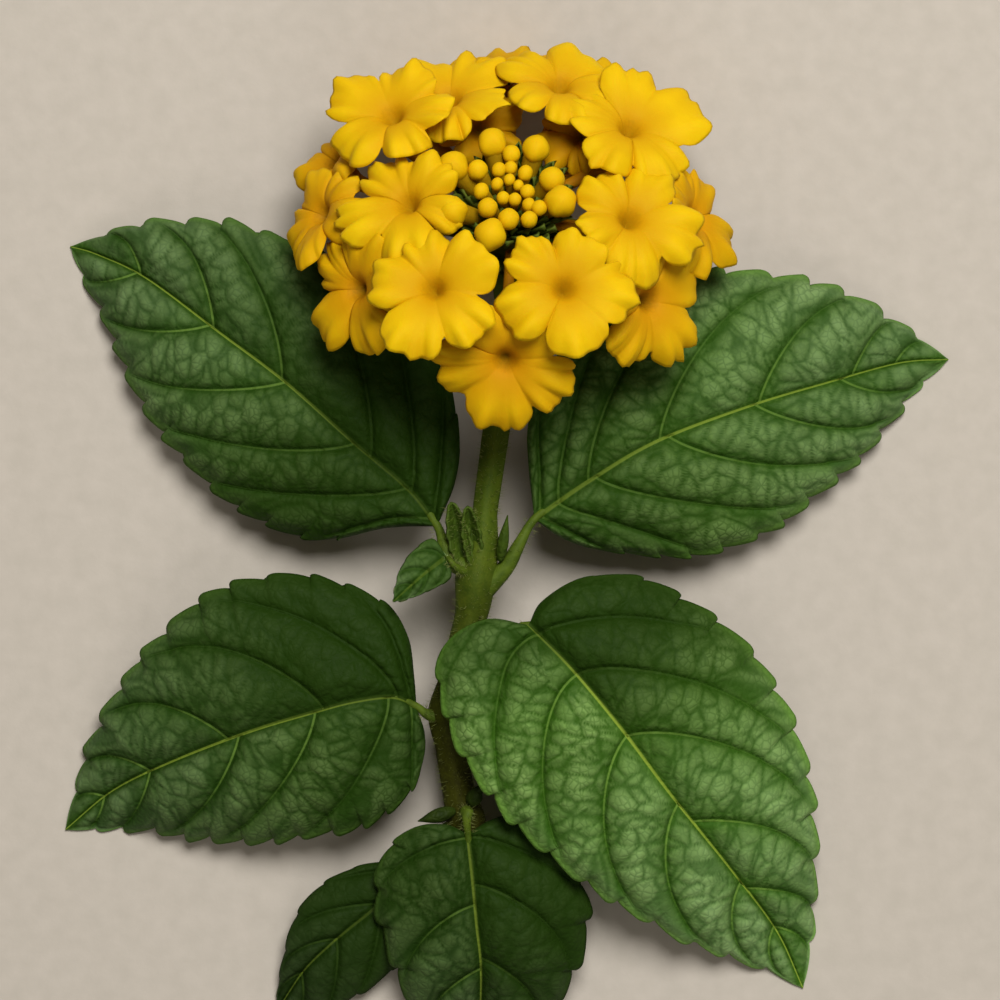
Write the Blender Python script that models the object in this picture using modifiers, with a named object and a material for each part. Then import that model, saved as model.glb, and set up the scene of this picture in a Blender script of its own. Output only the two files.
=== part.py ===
"""A cut lantana sprig lying on a surface: a domed yellow flower head, a stem with three nodes,
six large toothed leaves and one small leaf in an upper axil. Metres, +Z up, the stem along +Y."""

import math

import bmesh
import bpy
from mathutils import Matrix, Vector

MM = 0.001

# Driving dimensions, in millimetres. Places are measured from the middle of the picture plane,
# with the surface at z = 0. The whole sprig is moved by -MIDDLE at the end, which centres its box.
MIDDLE = Vector((0.7, -5.25, 0.0))

PATH_STEPS = 12

# Blades
BLADE_THICKNESS = 0.7
BLADE_LOWEST = 0.3
COLUMNS = 6
VEIN_SWEEP = 1.45
VEIN_BOW = 0.07
TOOTH_OUT = 0.5
TOOTH_FORWARD = 0.5
TOOTH_MOST_OF_HALF_WIDTH = 0.085
BASE_WITHOUT_TEETH = 0.12
MIDRIB_BELOW = 0.25
MIDRIB_SHARE = 0.72
MIDRIB_POINTS = 8
MIDRIB_END_RADIUS = 0.35

# Flower head
HEAD_CENTRE = Vector((1.1, 26.9, 12.6))
HEAD_TILT = math.radians(30)
CORE_RADIUS = 4.6
FLORET_RADIUS = 6.5
FLORET_THICKNESS = 0.65
FLORET_DEPTH = 1.9
SINUS_DEPTH = 0.42
SINUS_SHARPNESS = 3.6
EDGE_TURN_BACK = 0.35
LOBES = 5
LOBE_STEPS = 5
LOBE_SIZES = (1.14, 1.03, 0.87, 0.87, 1.03)
LIMB_RINGS = 3
TUBE_ROOT_RADIUS = 0.6
TUBE_TOP_RADIUS = 1.15
TUBE_SIDES = 6
TUBE_INTO_LIMB = 0.15
ROOT_IN_CORE = 0.6
UPPER_HEIGHT = 7.0
UPPER_LEAN = math.radians(13)
LOWER_HEIGHT = 2.0
LOWER_LEAN = math.radians(54)
BUD_STALK_RADIUS = 0.45
BUD_STALK_SIDES = 5
LARGE_BUD = 1.2

# Each floret's turn round the head in degrees, and its throat's distance from the head's axis.
UPPER_FLORETS = ((68, 11.9), (119, 11.5), (146, 13.9), (192, 10.1), (238, 13.9), (293, 12.8), (341, 12.0), (30, 13.3))
LOWER_FLORETS = ((180, 18.3), (210, 17.0), (268, 16.5), (323, 16.3), (359, 17.6), (37, 17.0), (72, 16.6),
                 (108, 16.6), (144, 17.2))

# Each bud's turn round the head in degrees, its distance from the axis and its radius.
BUDS = ((107, 5.5, 1.5), (60, 5.2, 1.35), (17, 4.4, 1.15), (349, 5.2, 1.55), (302, 3.9, 0.9), (251, 5.6, 1.55),
        (202, 5.9, 1.45), (155, 5.9, 1.45), (272, 3.2, 1.05), (328, 3.5, 0.85), (224, 2.8, 1.0), (187, 2.8, 0.9),
        (141, 3.8, 1.05), (87, 4.1, 0.95), (48, 2.6, 0.85), (108, 2.3, 0.7), (357, 1.9, 0.75), (150, 1.3, 0.6))
BUD_DISC_HEIGHT = 7.6
BUD_DISC_CROWN = 0.5

# The stem's middle line with its radius at each place, from the cut end to the head.
STEM = (
    (-2.7, -46.0, 1.4, 1.55),
    (-2.9, -39.0, 2.9, 1.5),
    (-3.2, -34.6, 4.0, 1.6),
    (-3.4, -32.2, 4.5, 1.95),
    (-4.1, -29.3, 5.1, 1.55),
    (-4.9, -24.5, 6.2, 1.5),
    (-5.2, -21.3, 6.9, 1.95),
    (-4.6, -18.3, 7.5, 1.55),
    (-2.9, -11.6, 8.4, 1.55),
    (-2.4, -7.9, 8.9, 2.0),
    (-1.8, -4.4, 8.9, 1.6),
    (-1.5, -1.2, 8.4, 1.2),
    (-0.4, 6.8, 7.3, 1.3),
    (0.5, 14.0, 6.5, 1.35),
    (0.9, 19.5, 7.0, 1.4),
    (1.0, 23.2, 9.0, 1.9),
)
STEM_POINTS = 34
STEM_SIDE_RESOLUTION = 2

# Small growth on the stem: foot, tip, width at the foot.
SHOOTS = (
    ((-3.0, -6.0, 9.9), (-4.6, -0.4, 11.6), 1.7),
    ((-2.6, -5.2, 10.2), (-3.3, 0.0, 12.6), 1.6),
    ((-1.4, -6.2, 10.2), (0.2, -1.4, 12.0), 1.3),
    ((-4.5, -31.0, 6.2), (-8.4, -32.0, 6.9), 1.5),
    ((-3.0, -30.4, 6.3), (-1.8, -28.2, 8.0), 1.3),
)
SHOOT_SIDES = 5
SHOOT_TIP_RADIUS = 0.3
BRACTS = 7
BRACT_TIP_RADIUS = 0.15
BRACT_LENGTH = 3.2
BRACT_WIDTH = 1.3
BRACT_SPREAD = math.radians(66)

# Each leaf has its petiole's path, its midrib with heights, its outline on the left and on the right
# of the midrib as seen from base to tip, how far each side droops, and its teeth on a side.
LEAVES = {
    "leaf_upper_left": {
        "petiole_radius": 0.85,
        "petiole": ((-4.9, -5.9, 9.4), (-5.6, -4.4, 9.4)),
        "midrib": ((-6.2, -2.6, 9.2), (-9.0, 1.0, 9.0), (-14.5, 5.7, 8.9), (-21.3, 11.7, 8.5), (-28.1, 16.8, 7.0),
                   (-35.4, 22.2, 4.2), (-40.5, 24.7, 1.3), (-43.4, 25.6, 0.3)),
        "left": ((-6.2, -2.6), (-11.3, -2.8), (-18.5, -4.1), (-26.0, -1.1), (-31.8, 4.2), (-36.0, 9.7),
                 (-39.0, 16.5), (-41.9, 22.2), (-43.4, 25.6)),
        "right": ((-6.2, -2.6), (-4.4, 2.0), (-4.0, 7.0), (-5.5, 13.0), (-10.0, 20.0), (-15.5, 23.8),
                  (-21.3, 25.9), (-27.3, 27.8), (-35.0, 27.8), (-38.8, 27.0), (-43.4, 25.6)),
        "droop": (4.6, 2.0),
        "teeth": 13,
    },
    "leaf_upper_right": {
        "petiole_radius": 0.85,
        "petiole": ((0.55, -6.7, 9.1), (1.9, -4.4, 9.3)),
        "midrib": ((3.4, -1.9, 9.3), (8.7, 1.8, 9.2), (15.5, 5.8, 8.8), (25.0, 9.4, 7.3), (32.6, 11.7, 5.0),
                   (40.2, 13.8, 1.4), (45.3, 14.2, 0.3)),
        "left": ((3.4, -1.9), (2.8, 3.8), (2.9, 8.5), (5.5, 14.5), (10.0, 19.0), (15.5, 21.8), (22.6, 22.9),
                 (30.6, 22.0), (36.5, 20.0), (41.1, 17.1), (45.3, 14.2)),
        "right": ((3.4, -1.9), (6.6, -4.0), (11.5, -5.3), (19.5, -5.7), (27.1, -3.1), (32.2, 0.8), (36.8, 4.8),
                  (41.3, 10.3), (45.3, 14.2)),
        "droop": (2.0, 4.4),
        "teeth": 13,
    },
    "leaf_lower_left": {
        "petiole_radius": 0.85,
        "petiole": ((-7.8, -21.5, 7.5), (-8.1, -21.1, 8.0)),
        "midrib": ((-8.3, -20.5, 8.6), (-10.6, -19.5, 9.8), (-14.4, -19.9, 10.4), (-18.5, -21.0, 10.2),
                   (-24.9, -23.0, 8.8), (-32.7, -26.1, 5.6), (-38.9, -29.2, 1.9), (-43.9, -33.3, 0.3)),
        "left": ((-8.3, -20.5), (-7.5, -23.2), (-7.6, -25.8), (-8.8, -29.2), (-13.0, -32.4), (-17.5, -33.4),
                 (-24.0, -34.3), (-30.0, -34.1), (-36.0, -33.3), (-43.9, -33.3)),
        "right": ((-8.3, -20.5), (-8.5, -17.7), (-9.1, -13.6), (-11.1, -10.3), (-15.5, -8.2), (-21.0, -7.3),
                  (-28.0, -8.8), (-33.4, -12.9), (-38.3, -19.0), (-41.7, -25.6), (-43.9, -33.3)),
        "droop": (4.4, 2.4),
        "teeth": 13,
    },
    "leaf_lower_right": {
        "petiole_radius": 0.85,
        "petiole": ((-3.9, -20.6, 9.6), (-2.4, -17.6, 10.6), (0.2, -14.2, 12.4)),
        "midrib": ((2.8, -12.3, 13.4), (7.0, -16.5, 13.8), (11.8, -22.3, 13.0), (16.8, -29.0, 11.0),
                   (23.0, -36.8, 6.9), (27.8, -43.3, 2.2), (30.6, -49.3, 0.3)),
        "left": ((2.8, -12.3), (4.2, -9.9), (8.3, -7.6), (13.8, -7.5), (19.0, -10.0), (24.2, -14.0),
                 (28.1, -19.7), (30.9, -27.3), (31.7, -36.3), (31.4, -44.4), (30.6, -49.3)),
        "right": ((2.8, -12.3), (-1.1, -11.7), (-4.6, -13.3), (-6.3, -16.0), (-5.8, -20.0), (-4.2, -24.5),
                  (-0.5, -30.0), (4.5, -35.0), (10.4, -39.4), (17.0, -43.3), (22.2, -45.6), (27.0, -47.5),
                  (30.6, -49.3)),
        "droop": (4.6, 2.2),
        "teeth": 14,
    },
    "leaf_base_middle": {
        "petiole_radius": 0.7,
        "petiole": ((-3.3, -31.0, 8.0), (-3.3, -32.2, 8.1)),
        "midrib": ((-3.2, -33.2, 8.1), (-2.7, -37.8, 8.3), (-2.3, -42.4, 7.7), (-1.9, -46.4, 6.2),
                   (-2.0, -51.6, 2.5), (-2.4, -56.8, 0.3)),
        "left": ((-3.2, -33.2), (-1.0, -31.9), (1.5, -31.6), (6.0, -34.5), (8.8, -39.5), (8.6, -43.9),
                 (6.5, -49.3), (3.0, -53.5), (-2.4, -56.8)),
        "right": ((-3.2, -33.2), (-5.5, -32.3), (-9.0, -32.7), (-11.8, -35.5), (-12.5, -39.5), (-11.5, -44.3),
                  (-9.3, -49.6), (-6.0, -54.0), (-2.4, -56.8)),
        "droop": (2.6, 2.2),
        "teeth": 7,
    },
    "leaf_base_left": {
        "petiole_radius": 0.7,
        "petiole": ((-5.9, -33.4, 4.5), (-6.6, -34.7, 4.4)),
        "midrib": ((-7.5, -36.2, 4.3), (-12.0, -40.4, 4.3), (-16.0, -43.7, 3.9), (-19.2, -46.7, 2.9),
                   (-21.2, -49.5, 1.3), (-22.8, -52.2, 0.3)),
        "left": ((-7.5, -36.2), (-6.8, -40.0), (-7.5, -44.0), (-10.6, -47.2), (-14.2, -49.8), (-18.2, -51.6),
                 (-22.8, -52.2)),
        "right": ((-7.5, -36.2), (-11.2, -36.2), (-14.6, -36.8), (-18.2, -38.8), (-20.6, -42.0),
                  (-22.0, -46.8), (-22.8, -52.2)),
        "droop": (1.6, 1.2),
        "teeth": 6,
    },
    "leaf_axil": {
        "petiole_radius": 0.45,
        "petiole": ((-4.4, -6.6, 11.1), (-4.8, -6.1, 11.4)),
        "midrib": ((-5.3, -5.6, 11.6), (-7.6, -7.4, 11.8), (-10.6, -10.1, 11.0)),
        "left": ((-5.3, -5.6), (-4.8, -7.6), (-6.8, -8.9), (-8.8, -9.7), (-10.6, -10.1)),
        "right": ((-5.3, -5.6), (-6.6, -3.8), (-8.5, -4.9), (-10.0, -7.1), (-10.6, -10.1)),
        "droop": (0.6, 0.5),
        "teeth": 5,
    },
}

# Colour and roughness of each kind of surface.
FINISHES = {
    "leaf": ((0.035, 0.13, 0.022), 0.5),
    "stem": ((0.09, 0.13, 0.02), 0.6),
    "flower": ((0.95, 0.55, 0.01), 0.55),
}


def clear_scene():
    for obj in list(bpy.data.objects):
        bpy.data.objects.remove(obj)


def material(name, kind):
    colour, roughness = FINISHES[kind]
    made = bpy.data.materials.new(name)
    made.use_nodes = True
    shader = made.node_tree.nodes["Principled BSDF"]
    shader.inputs["Base Color"].default_value = (*colour, 1)
    shader.inputs["Roughness"].default_value = roughness
    shader.inputs["Metallic"].default_value = 0.0
    return made


class Path:
    """A smooth line through points, read at a share of its length."""

    def __init__(self, points):
        points = [Vector(point) for point in points]
        before = points[0] * 2 - points[1]
        after = points[-1] * 2 - points[-2]
        padded = [before, *points, after]
        self.points = []
        for i in range(1, len(padded) - 2):
            for k in range(PATH_STEPS):
                self.points.append(catmull_rom(padded[i - 1 : i + 3], k / PATH_STEPS))
        self.points.append(points[-1])
        self.lengths = [0.0]
        for here, there in zip(self.points, self.points[1:]):
            self.lengths.append(self.lengths[-1] + (there - here).length)

    def at(self, share):
        wanted = min(max(share, 0.0), 1.0) * self.lengths[-1]
        for i in range(1, len(self.lengths)):
            if self.lengths[i] >= wanted:
                step = self.lengths[i] - self.lengths[i - 1]
                return self.points[i - 1].lerp(self.points[i], (wanted - self.lengths[i - 1]) / step)
        return self.points[-1].copy()


def catmull_rom(four, t):
    a, b, c, d = four
    return 0.5 * (2 * b + (c - a) * t + (2 * a - 5 * b + 4 * c - d) * t**2 + (3 * b - a - 3 * c + d) * t**3)


def new_object(name, mesh, collection):
    obj = bpy.data.objects.new(name, mesh)
    collection.objects.link(obj)
    return obj


def object_from_bmesh(name, bm, collection):
    mesh = bpy.data.meshes.new(name)
    bm.to_mesh(mesh)
    bm.free()
    return new_object(name, mesh, collection)


def evaluated_mesh(obj):
    graph = bpy.context.evaluated_depsgraph_get()
    return bpy.data.meshes.new_from_object(obj.evaluated_get(graph))


def replaced_by_mesh(obj, collection):
    """The object's evaluated shape as a plain mesh object of the same name, with caps welded."""
    name = obj.name
    bm = bmesh.new()
    bm.from_mesh(evaluated_mesh(obj))
    bm.transform(obj.matrix_world)
    bpy.data.objects.remove(obj)
    bmesh.ops.remove_doubles(bm, verts=bm.verts, dist=1e-6)
    bmesh.ops.recalc_face_normals(bm, faces=bm.faces)
    return object_from_bmesh(name, bm, collection)


def tube(name, points, radii, collection, resolution):
    """A closed tube along points in millimetres, with a radius at each."""
    curve = bpy.data.curves.new(name, "CURVE")
    curve.dimensions = "3D"
    curve.bevel_depth = MM
    curve.bevel_resolution = resolution
    curve.use_fill_caps = True
    spline = curve.splines.new("POLY")
    spline.points.add(len(points) - 1)
    for point, place, radius in zip(spline.points, points, radii):
        point.co = (*(place * MM), 1)
        point.radius = radius
    return replaced_by_mesh(new_object(name, curve, collection), collection)


def fuse(name, pieces, collection, finish):
    """One body from pieces that cross each other."""
    body = pieces[0]
    others = bpy.data.collections.new(name + "_pieces")
    bpy.context.scene.collection.children.link(others)
    for piece in pieces[1:]:
        collection.objects.unlink(piece)
        others.objects.link(piece)
    union = body.modifiers.new("Fuse", "BOOLEAN")
    union.operation = "UNION"
    union.operand_type = "COLLECTION"
    union.collection = others
    union.solver = "MANIFOLD"
    bpy.context.view_layer.update()
    mesh = evaluated_mesh(body)
    for piece in pieces:
        bpy.data.objects.remove(piece)
    bpy.data.collections.remove(others)
    mesh.name = name
    mesh.materials.clear()
    mesh.materials.append(finish)
    return new_object(name, mesh, collection)


def sine_hump(share):
    return math.sin(math.pi * min(max(share, 0.0), 1.0)) ** 0.7


def blade_point(leaf, across, along):
    """A place on a leaf's blade: across runs from -1 at the left edge to 1 at the right, along from base to tip."""
    side = "left" if across < 0 else "right"
    reach = abs(across)
    rib = leaf["paths"]["midrib"].at(along**VEIN_SWEEP)
    edge = leaf["paths"][side].at(along)
    out = edge - rib.to_2d()
    forward = Vector(leaf["forward"])
    flat = rib.to_2d() + out * reach
    flat += forward * out.length * VEIN_BOW * math.sin(math.pi * reach) * sine_hump(along)
    droop = leaf["droop"][0 if across < 0 else 1]
    height = rib.z - droop * reach**2 * sine_hump(along)
    return Vector((flat.x, flat.y, max(height, BLADE_LOWEST)))


def toothed(leaf, place, across, row):
    """Moves a point of the outline out and forward where its row is a tooth's, and in where it isn't."""
    rows = 2 * leaf["teeth"]
    if row < rows * BASE_WITHOUT_TEETH or row >= rows:
        return place
    half = (place - blade_point(leaf, 0, row / rows)).to_2d()
    size = min(1.0, half.length * TOOTH_MOST_OF_HALF_WIDTH / TOOTH_OUT)
    amount = TOOTH_OUT if row % 2 else -TOOTH_OUT
    shift = half.normalized() * amount + Vector(leaf["forward"]) * TOOTH_FORWARD * (row % 2)
    return place + Vector((shift.x, shift.y, 0)) * size


def blade(name, leaf, collection):
    rows = 2 * leaf["teeth"]
    bm = bmesh.new()
    bmesh.ops.create_grid(bm, x_segments=COLUMNS, y_segments=rows, size=0.5)
    for vert in bm.verts:
        across = 2 * vert.co.x
        row = round((vert.co.y + 0.5) * rows)
        place = blade_point(leaf, across, row / rows)
        if abs(across) > 0.999:
            place = toothed(leaf, place, across, row)
        vert.co = place * MM
    bmesh.ops.remove_doubles(bm, verts=bm.verts, dist=1e-6)
    bmesh.ops.triangulate(bm, faces=bm.faces)
    bmesh.ops.recalc_face_normals(bm, faces=bm.faces)
    obj = object_from_bmesh(name, bm, collection)
    wall = obj.modifiers.new("Wall", "SOLIDIFY")
    wall.thickness = BLADE_THICKNESS * MM
    wall.offset = 0
    return replaced_by_mesh(obj, collection)


def leaf_rib(name, leaf, collection):
    """The petiole and the midrib under the blade, as one tapering tube."""
    rib = leaf["paths"]["midrib"]
    points = [Vector(point) for point in leaf["petiole"]]
    radii = [leaf["petiole_radius"]] * len(points)
    for i in range(MIDRIB_POINTS):
        part = i / (MIDRIB_POINTS - 1)
        points.append(rib.at(MIDRIB_SHARE * part) - Vector((0, 0, MIDRIB_BELOW)))
        radii.append(leaf["petiole_radius"] + (MIDRIB_END_RADIUS - leaf["petiole_radius"]) * part)
    return tube(name, points, radii, collection, 1)


def make_leaf(name, leaf, collection, finish):
    leaf["paths"] = {key: Path(leaf[key]) for key in ("midrib", "left", "right")}
    leaf["forward"] = (Vector(leaf["midrib"][-1]) - Vector(leaf["midrib"][0])).to_2d().normalized()
    pieces = [blade(name + "_blade", leaf, collection), leaf_rib(name + "_rib", leaf, collection)]
    return fuse(name, pieces, collection, finish)


def head_axes():
    """The head's axis and its two cross directions: to the right, and up the picture."""
    axis = Vector((0, math.sin(HEAD_TILT), math.cos(HEAD_TILT)))
    up = Vector((0, math.cos(HEAD_TILT), -math.sin(HEAD_TILT)))
    return axis, Vector((1, 0, 0)), up


def head_place(turn, distance, height):
    axis, right, up = head_axes()
    outward = right * math.cos(turn) + up * math.sin(turn)
    return HEAD_CENTRE + axis * height + outward * distance, outward


def root_towards(place):
    """Where a tube or a stalk that ends at the given place starts, well inside the core."""
    return HEAD_CENTRE + (place - HEAD_CENTRE).normalized() * CORE_RADIUS * ROOT_IN_CORE


def lobe_radius(turn):
    """The limb's outline: five rounded lobes with sinuses between them, the first one pointing outward."""
    phase = turn / (2 * math.pi) * LOBES
    nearest = round(phase)
    off = abs(phase - nearest) * 2
    size = LOBE_SIZES[nearest % LOBES]
    return FLORET_RADIUS * size * (1 - SINUS_DEPTH * off**SINUS_SHARPNESS)


def limb_height(share, turn):
    """A shallow funnel whose edge turns back, more in the middle of each lobe."""
    funnel = FLORET_DEPTH * (1 - (1 - share) ** 2)
    wave = math.cos(turn * LOBES)
    return funnel - EDGE_TURN_BACK * (1 + wave) * share**4


def limb(name, frame, collection):
    segments = LOBES * LOBE_STEPS
    bm = bmesh.new()
    bmesh.ops.create_grid(bm, x_segments=segments, y_segments=LIMB_RINGS, size=0.5)
    for vert in bm.verts:
        turn = (vert.co.x + 0.5) * 2 * math.pi
        share = vert.co.y + 0.5
        radius = lobe_radius(turn) * share
        place = Vector((radius * math.cos(turn), radius * math.sin(turn), limb_height(share, turn)))
        vert.co = place * MM
    bmesh.ops.remove_doubles(bm, verts=bm.verts, dist=1e-6)
    bmesh.ops.triangulate(bm, faces=bm.faces)
    bm.transform(frame)
    bmesh.ops.recalc_face_normals(bm, faces=bm.faces)
    obj = object_from_bmesh(name, bm, collection)
    wall = obj.modifiers.new("Wall", "SOLIDIFY")
    wall.thickness = FLORET_THICKNESS * MM
    wall.offset = 0
    return replaced_by_mesh(obj, collection)


def cone_between(name, foot, tip, foot_radius, tip_radius, sides, collection):
    """A closed cone or rod from foot to tip, in millimetres."""
    along = tip - foot
    turned = along.to_track_quat("Z", "Y").to_matrix().to_4x4()
    middle = Matrix.Translation((foot + tip) / 2 * MM)
    bm = bmesh.new()
    bmesh.ops.create_cone(bm, cap_ends=True, segments=sides, radius1=foot_radius * MM, radius2=tip_radius * MM,
                          depth=along.length * MM, matrix=middle @ turned)
    return object_from_bmesh(name, bm, collection)


def floret(name, turn, distance, height, lean, collection):
    """A limb with its throat at the given place, and the tube that carries it from the core."""
    throat, outward = head_place(turn, distance, height)
    axis = head_axes()[0]
    facing = axis * math.cos(lean) + outward * math.sin(lean)
    down = outward * math.cos(lean) - axis * math.sin(lean)
    sideways = facing.cross(down)
    turned = Matrix((down, sideways, facing)).transposed().to_4x4()
    frame = Matrix.Translation(throat * MM) @ turned
    tube_top = throat + facing * TUBE_INTO_LIMB
    return [
        limb(name + "_limb", frame, collection),
        cone_between(name + "_tube", root_towards(throat), tube_top, TUBE_ROOT_RADIUS, TUBE_TOP_RADIUS,
                     TUBE_SIDES, collection),
    ]


def ball(name, centre, radius, around, rings, collection):
    bm = bmesh.new()
    bmesh.ops.create_uvsphere(bm, u_segments=around, v_segments=rings, radius=radius * MM,
                              matrix=Matrix.Translation(centre * MM))
    return object_from_bmesh(name, bm, collection)


def bud(name, turn, distance, radius, collection):
    height = BUD_DISC_HEIGHT + BUD_DISC_CROWN * (distance / BUDS[0][1] - 1)
    centre, _ = head_place(turn, distance, height)
    around = 8 if radius > LARGE_BUD else 6
    return [
        ball(name, centre, radius, around, around // 2 + 1, collection),
        cone_between(name + "_stalk", root_towards(centre), centre, BUD_STALK_RADIUS, BUD_STALK_RADIUS,
                     BUD_STALK_SIDES, collection),
    ]


def make_flower_head(collection, finish):
    pieces = [ball("core", HEAD_CENTRE, CORE_RADIUS, 12, 8, collection)]
    rings = ((UPPER_FLORETS, UPPER_HEIGHT, UPPER_LEAN, "upper"), (LOWER_FLORETS, LOWER_HEIGHT, LOWER_LEAN, "lower"))
    for florets, height, lean, ring in rings:
        for i, (turn, distance) in enumerate(florets):
            pieces += floret(f"{ring}_{i}", math.radians(turn), distance, height, lean, collection)
    for i, (turn, distance, radius) in enumerate(BUDS):
        pieces += bud(f"bud_{i}", math.radians(turn), distance, radius, collection)
    return fuse("flower_head", pieces, collection, finish)


def bract(name, turn, collection):
    """A small pointed scale that spreads from under the head."""
    axis, right, up = head_axes()
    outward = right * math.cos(turn) + up * math.sin(turn)
    foot = Vector(STEM[-1][:3]) + outward * 0.6 - axis * 0.4
    tip = foot + (outward * math.sin(BRACT_SPREAD) + axis * math.cos(BRACT_SPREAD) * 0.3) * BRACT_LENGTH
    return cone_between(name, foot, tip, BRACT_WIDTH / 2, BRACT_TIP_RADIUS, 4, collection)


def make_stem(collection, finish):
    line = Path([row[:3] for row in STEM])
    marks = [line.lengths[i * PATH_STEPS] / line.lengths[-1] for i in range(len(STEM))]
    points = []
    radii = []
    for k in range(STEM_POINTS):
        share = k / (STEM_POINTS - 1)
        points.append(line.at(share))
        radii.append(radius_at(share, marks, [row[3] for row in STEM]))
    pieces = [tube("stem_tube", points, radii, collection, STEM_SIDE_RESOLUTION)]
    for i, (foot, tip, width) in enumerate(SHOOTS):
        pieces.append(cone_between(f"shoot_{i}", Vector(foot), Vector(tip), width / 2, SHOOT_TIP_RADIUS,
                                   SHOOT_SIDES, collection))
    for i in range(BRACTS):
        pieces.append(bract(f"bract_{i}", 2 * math.pi * i / BRACTS, collection))
    return fuse("stem", pieces, collection, finish)


def radius_at(share, marks, radii):
    """The stem's radius at a share of its length, eased between the places that state one."""
    for i in range(1, len(marks)):
        if marks[i] >= share - 1e-9:
            part = (share - marks[i - 1]) / (marks[i] - marks[i - 1])
            smooth = part * part * (3 - 2 * part)
            return radii[i - 1] + (radii[i] - radii[i - 1]) * smooth
    return radii[-1]


def cut_flat_underneath(objects, cutters):
    """Small flat spots where the sprig meets the surface at z = 0."""
    half = 80 * MM
    deep = 10 * MM
    bm = bmesh.new()
    bmesh.ops.create_cube(bm, size=1, matrix=Matrix.Diagonal((2 * half, 2 * half, deep, 1)))
    below = object_from_bmesh("surface_cutter", bm, cutters)
    below.location.z = -deep / 2
    below.hide_render = True
    below.display_type = "WIRE"
    for obj in objects:
        if min(vert.co.z for vert in obj.data.vertices) >= 0:
            continue
        cut = obj.modifiers.new("Flat spots", "BOOLEAN")
        cut.operation = "DIFFERENCE"
        cut.object = below
        cut.solver = "MANIFOLD"


def main():
    clear_scene()
    collection = bpy.data.collections.new("Lantana sprig")
    cutters = bpy.data.collections.new("Cutters")
    for made in (collection, cutters):
        bpy.context.scene.collection.children.link(made)
    objects = []
    for name, leaf in LEAVES.items():
        objects.append(make_leaf(name, leaf, collection, material(name, "leaf")))
    objects.append(make_stem(collection, material("stem", "stem")))
    objects.append(make_flower_head(collection, material("flower_head", "flower")))
    for obj in objects:
        obj.data.transform(Matrix.Translation(-MIDDLE * MM))
    cut_flat_underneath(objects, cutters)


main()
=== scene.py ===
import math
import random

import bmesh
import bpy
import numpy as np
from mathutils import Matrix, Vector, noise


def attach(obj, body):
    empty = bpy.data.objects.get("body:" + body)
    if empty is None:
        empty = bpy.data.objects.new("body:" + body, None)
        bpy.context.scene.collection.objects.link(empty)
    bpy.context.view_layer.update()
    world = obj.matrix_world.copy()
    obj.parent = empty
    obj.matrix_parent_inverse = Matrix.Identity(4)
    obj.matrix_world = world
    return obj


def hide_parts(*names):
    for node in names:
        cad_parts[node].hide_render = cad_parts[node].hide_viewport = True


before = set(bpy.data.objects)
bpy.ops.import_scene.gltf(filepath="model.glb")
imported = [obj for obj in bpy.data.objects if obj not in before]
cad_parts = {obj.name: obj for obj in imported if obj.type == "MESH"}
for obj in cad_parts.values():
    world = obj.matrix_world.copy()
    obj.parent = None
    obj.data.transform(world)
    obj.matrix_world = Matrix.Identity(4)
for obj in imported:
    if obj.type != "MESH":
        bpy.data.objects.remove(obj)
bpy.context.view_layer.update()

# Places are in millimetres from the middle of the picture plane, and MIDDLE is where the sprig's
# own origin lies there, as in the part's source. Meshes are turned into metres at the end.
MM = 0.001
MIDDLE = np.array((0.7, -5.25, 0.0))
UPWARDS = (0.0, 0.0, 1.0)
PATH_STEPS = 16
RANDOM_SEED = 11
LOWEST = 0.3

# Camera: the picture is 100 mm wide at this height, seen from far above.
PICTURE_WIDTH = 100.0
PICTURE_HEIGHT_OF_PLANE = 5.0
CAMERA_DISTANCE = 500.0
SENSOR = 36.0

# The floor reaches this far to each side, in metres.
FLOOR_SIZE = 3.0

# Leaves
LEAF_THICKNESS = 0.28
VEIN_SWEEP = 1.45
VEIN_BOW = 0.07
VEIN_ARCH = 1.7
VEIN_STEPS = 24
VEIN_DEPTH = 0.32
TOOTH_SIZE = 0.75
TOOTH_SHARE_OF_WIDTH = 0.15
TOOTH_TIP = 0.7
TOOTH_LEAN = 0.4
ROW_CROWDING = 1.5
MIDRIB_WIDTH = 0.27
MIDRIB_DEPTH = 0.5
VALLEY_RISE = 0.5
QUILT_HEIGHT = 0.72
QUILT_SHARE = 0.17
RUNG_SPACING = 1.7
RUNG_REACH = 2.6
RUNG_HEIGHT = 0.27
FINE_CELL = 0.75
EDGE_ROLL = 0.22
COLUMN_CROWDING = 1.15
WAVE_HEIGHT = 0.55
WAVE_SCALE = 0.10
RIB_END = 0.8
PETIOLE_GRID = (16, 70)

# Flower head
HEAD_CENTRE = np.array((1.1, 26.9, 12.6))
HEAD_TILT = math.radians(30)
HEAD_AXIS = np.array((0, math.sin(HEAD_TILT), math.cos(HEAD_TILT)))
HEAD_RIGHT = np.array((1.0, 0, 0))
HEAD_UP = np.array((0, math.cos(HEAD_TILT), -math.sin(HEAD_TILT)))
CORE_RADIUS = 3.4
FLORET_RADIUS = 6.5
FLORET_DEPTH = 1.3
LOBES = 5
LOBE_SIZES = (1.08, 1.02, 0.90, 0.90, 1.02)
LOBE_SPREAD = (0.93, 1.06)
LOBE_LIFT = (-1.1, 0.9)
LOBE_TWIST = (-0.9, 0.9)
LOBE_CURL = (0.4, 1.5)
LOBE_POINTS = (0.0, 0.0, 0.0, 0.06, 0.13)
LOBE_CORNERS = (-0.08, 0.05)
LOBE_DOME = 0.6
SINUS_DEPTH = (0.20, 0.45)
SINUS_SHARPNESS = 4.5
THROAT_DEPTH = 1.6
RUFFLES = (1.4, 2.7)
RUFFLE_HEIGHT = (0.14, 0.42)
RUFFLE_REACH = 0.042
PETAL_THICKNESS = 0.2
UPPER_LEAN = math.radians(15)
LOWER_LEAN = math.radians(50)
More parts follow.
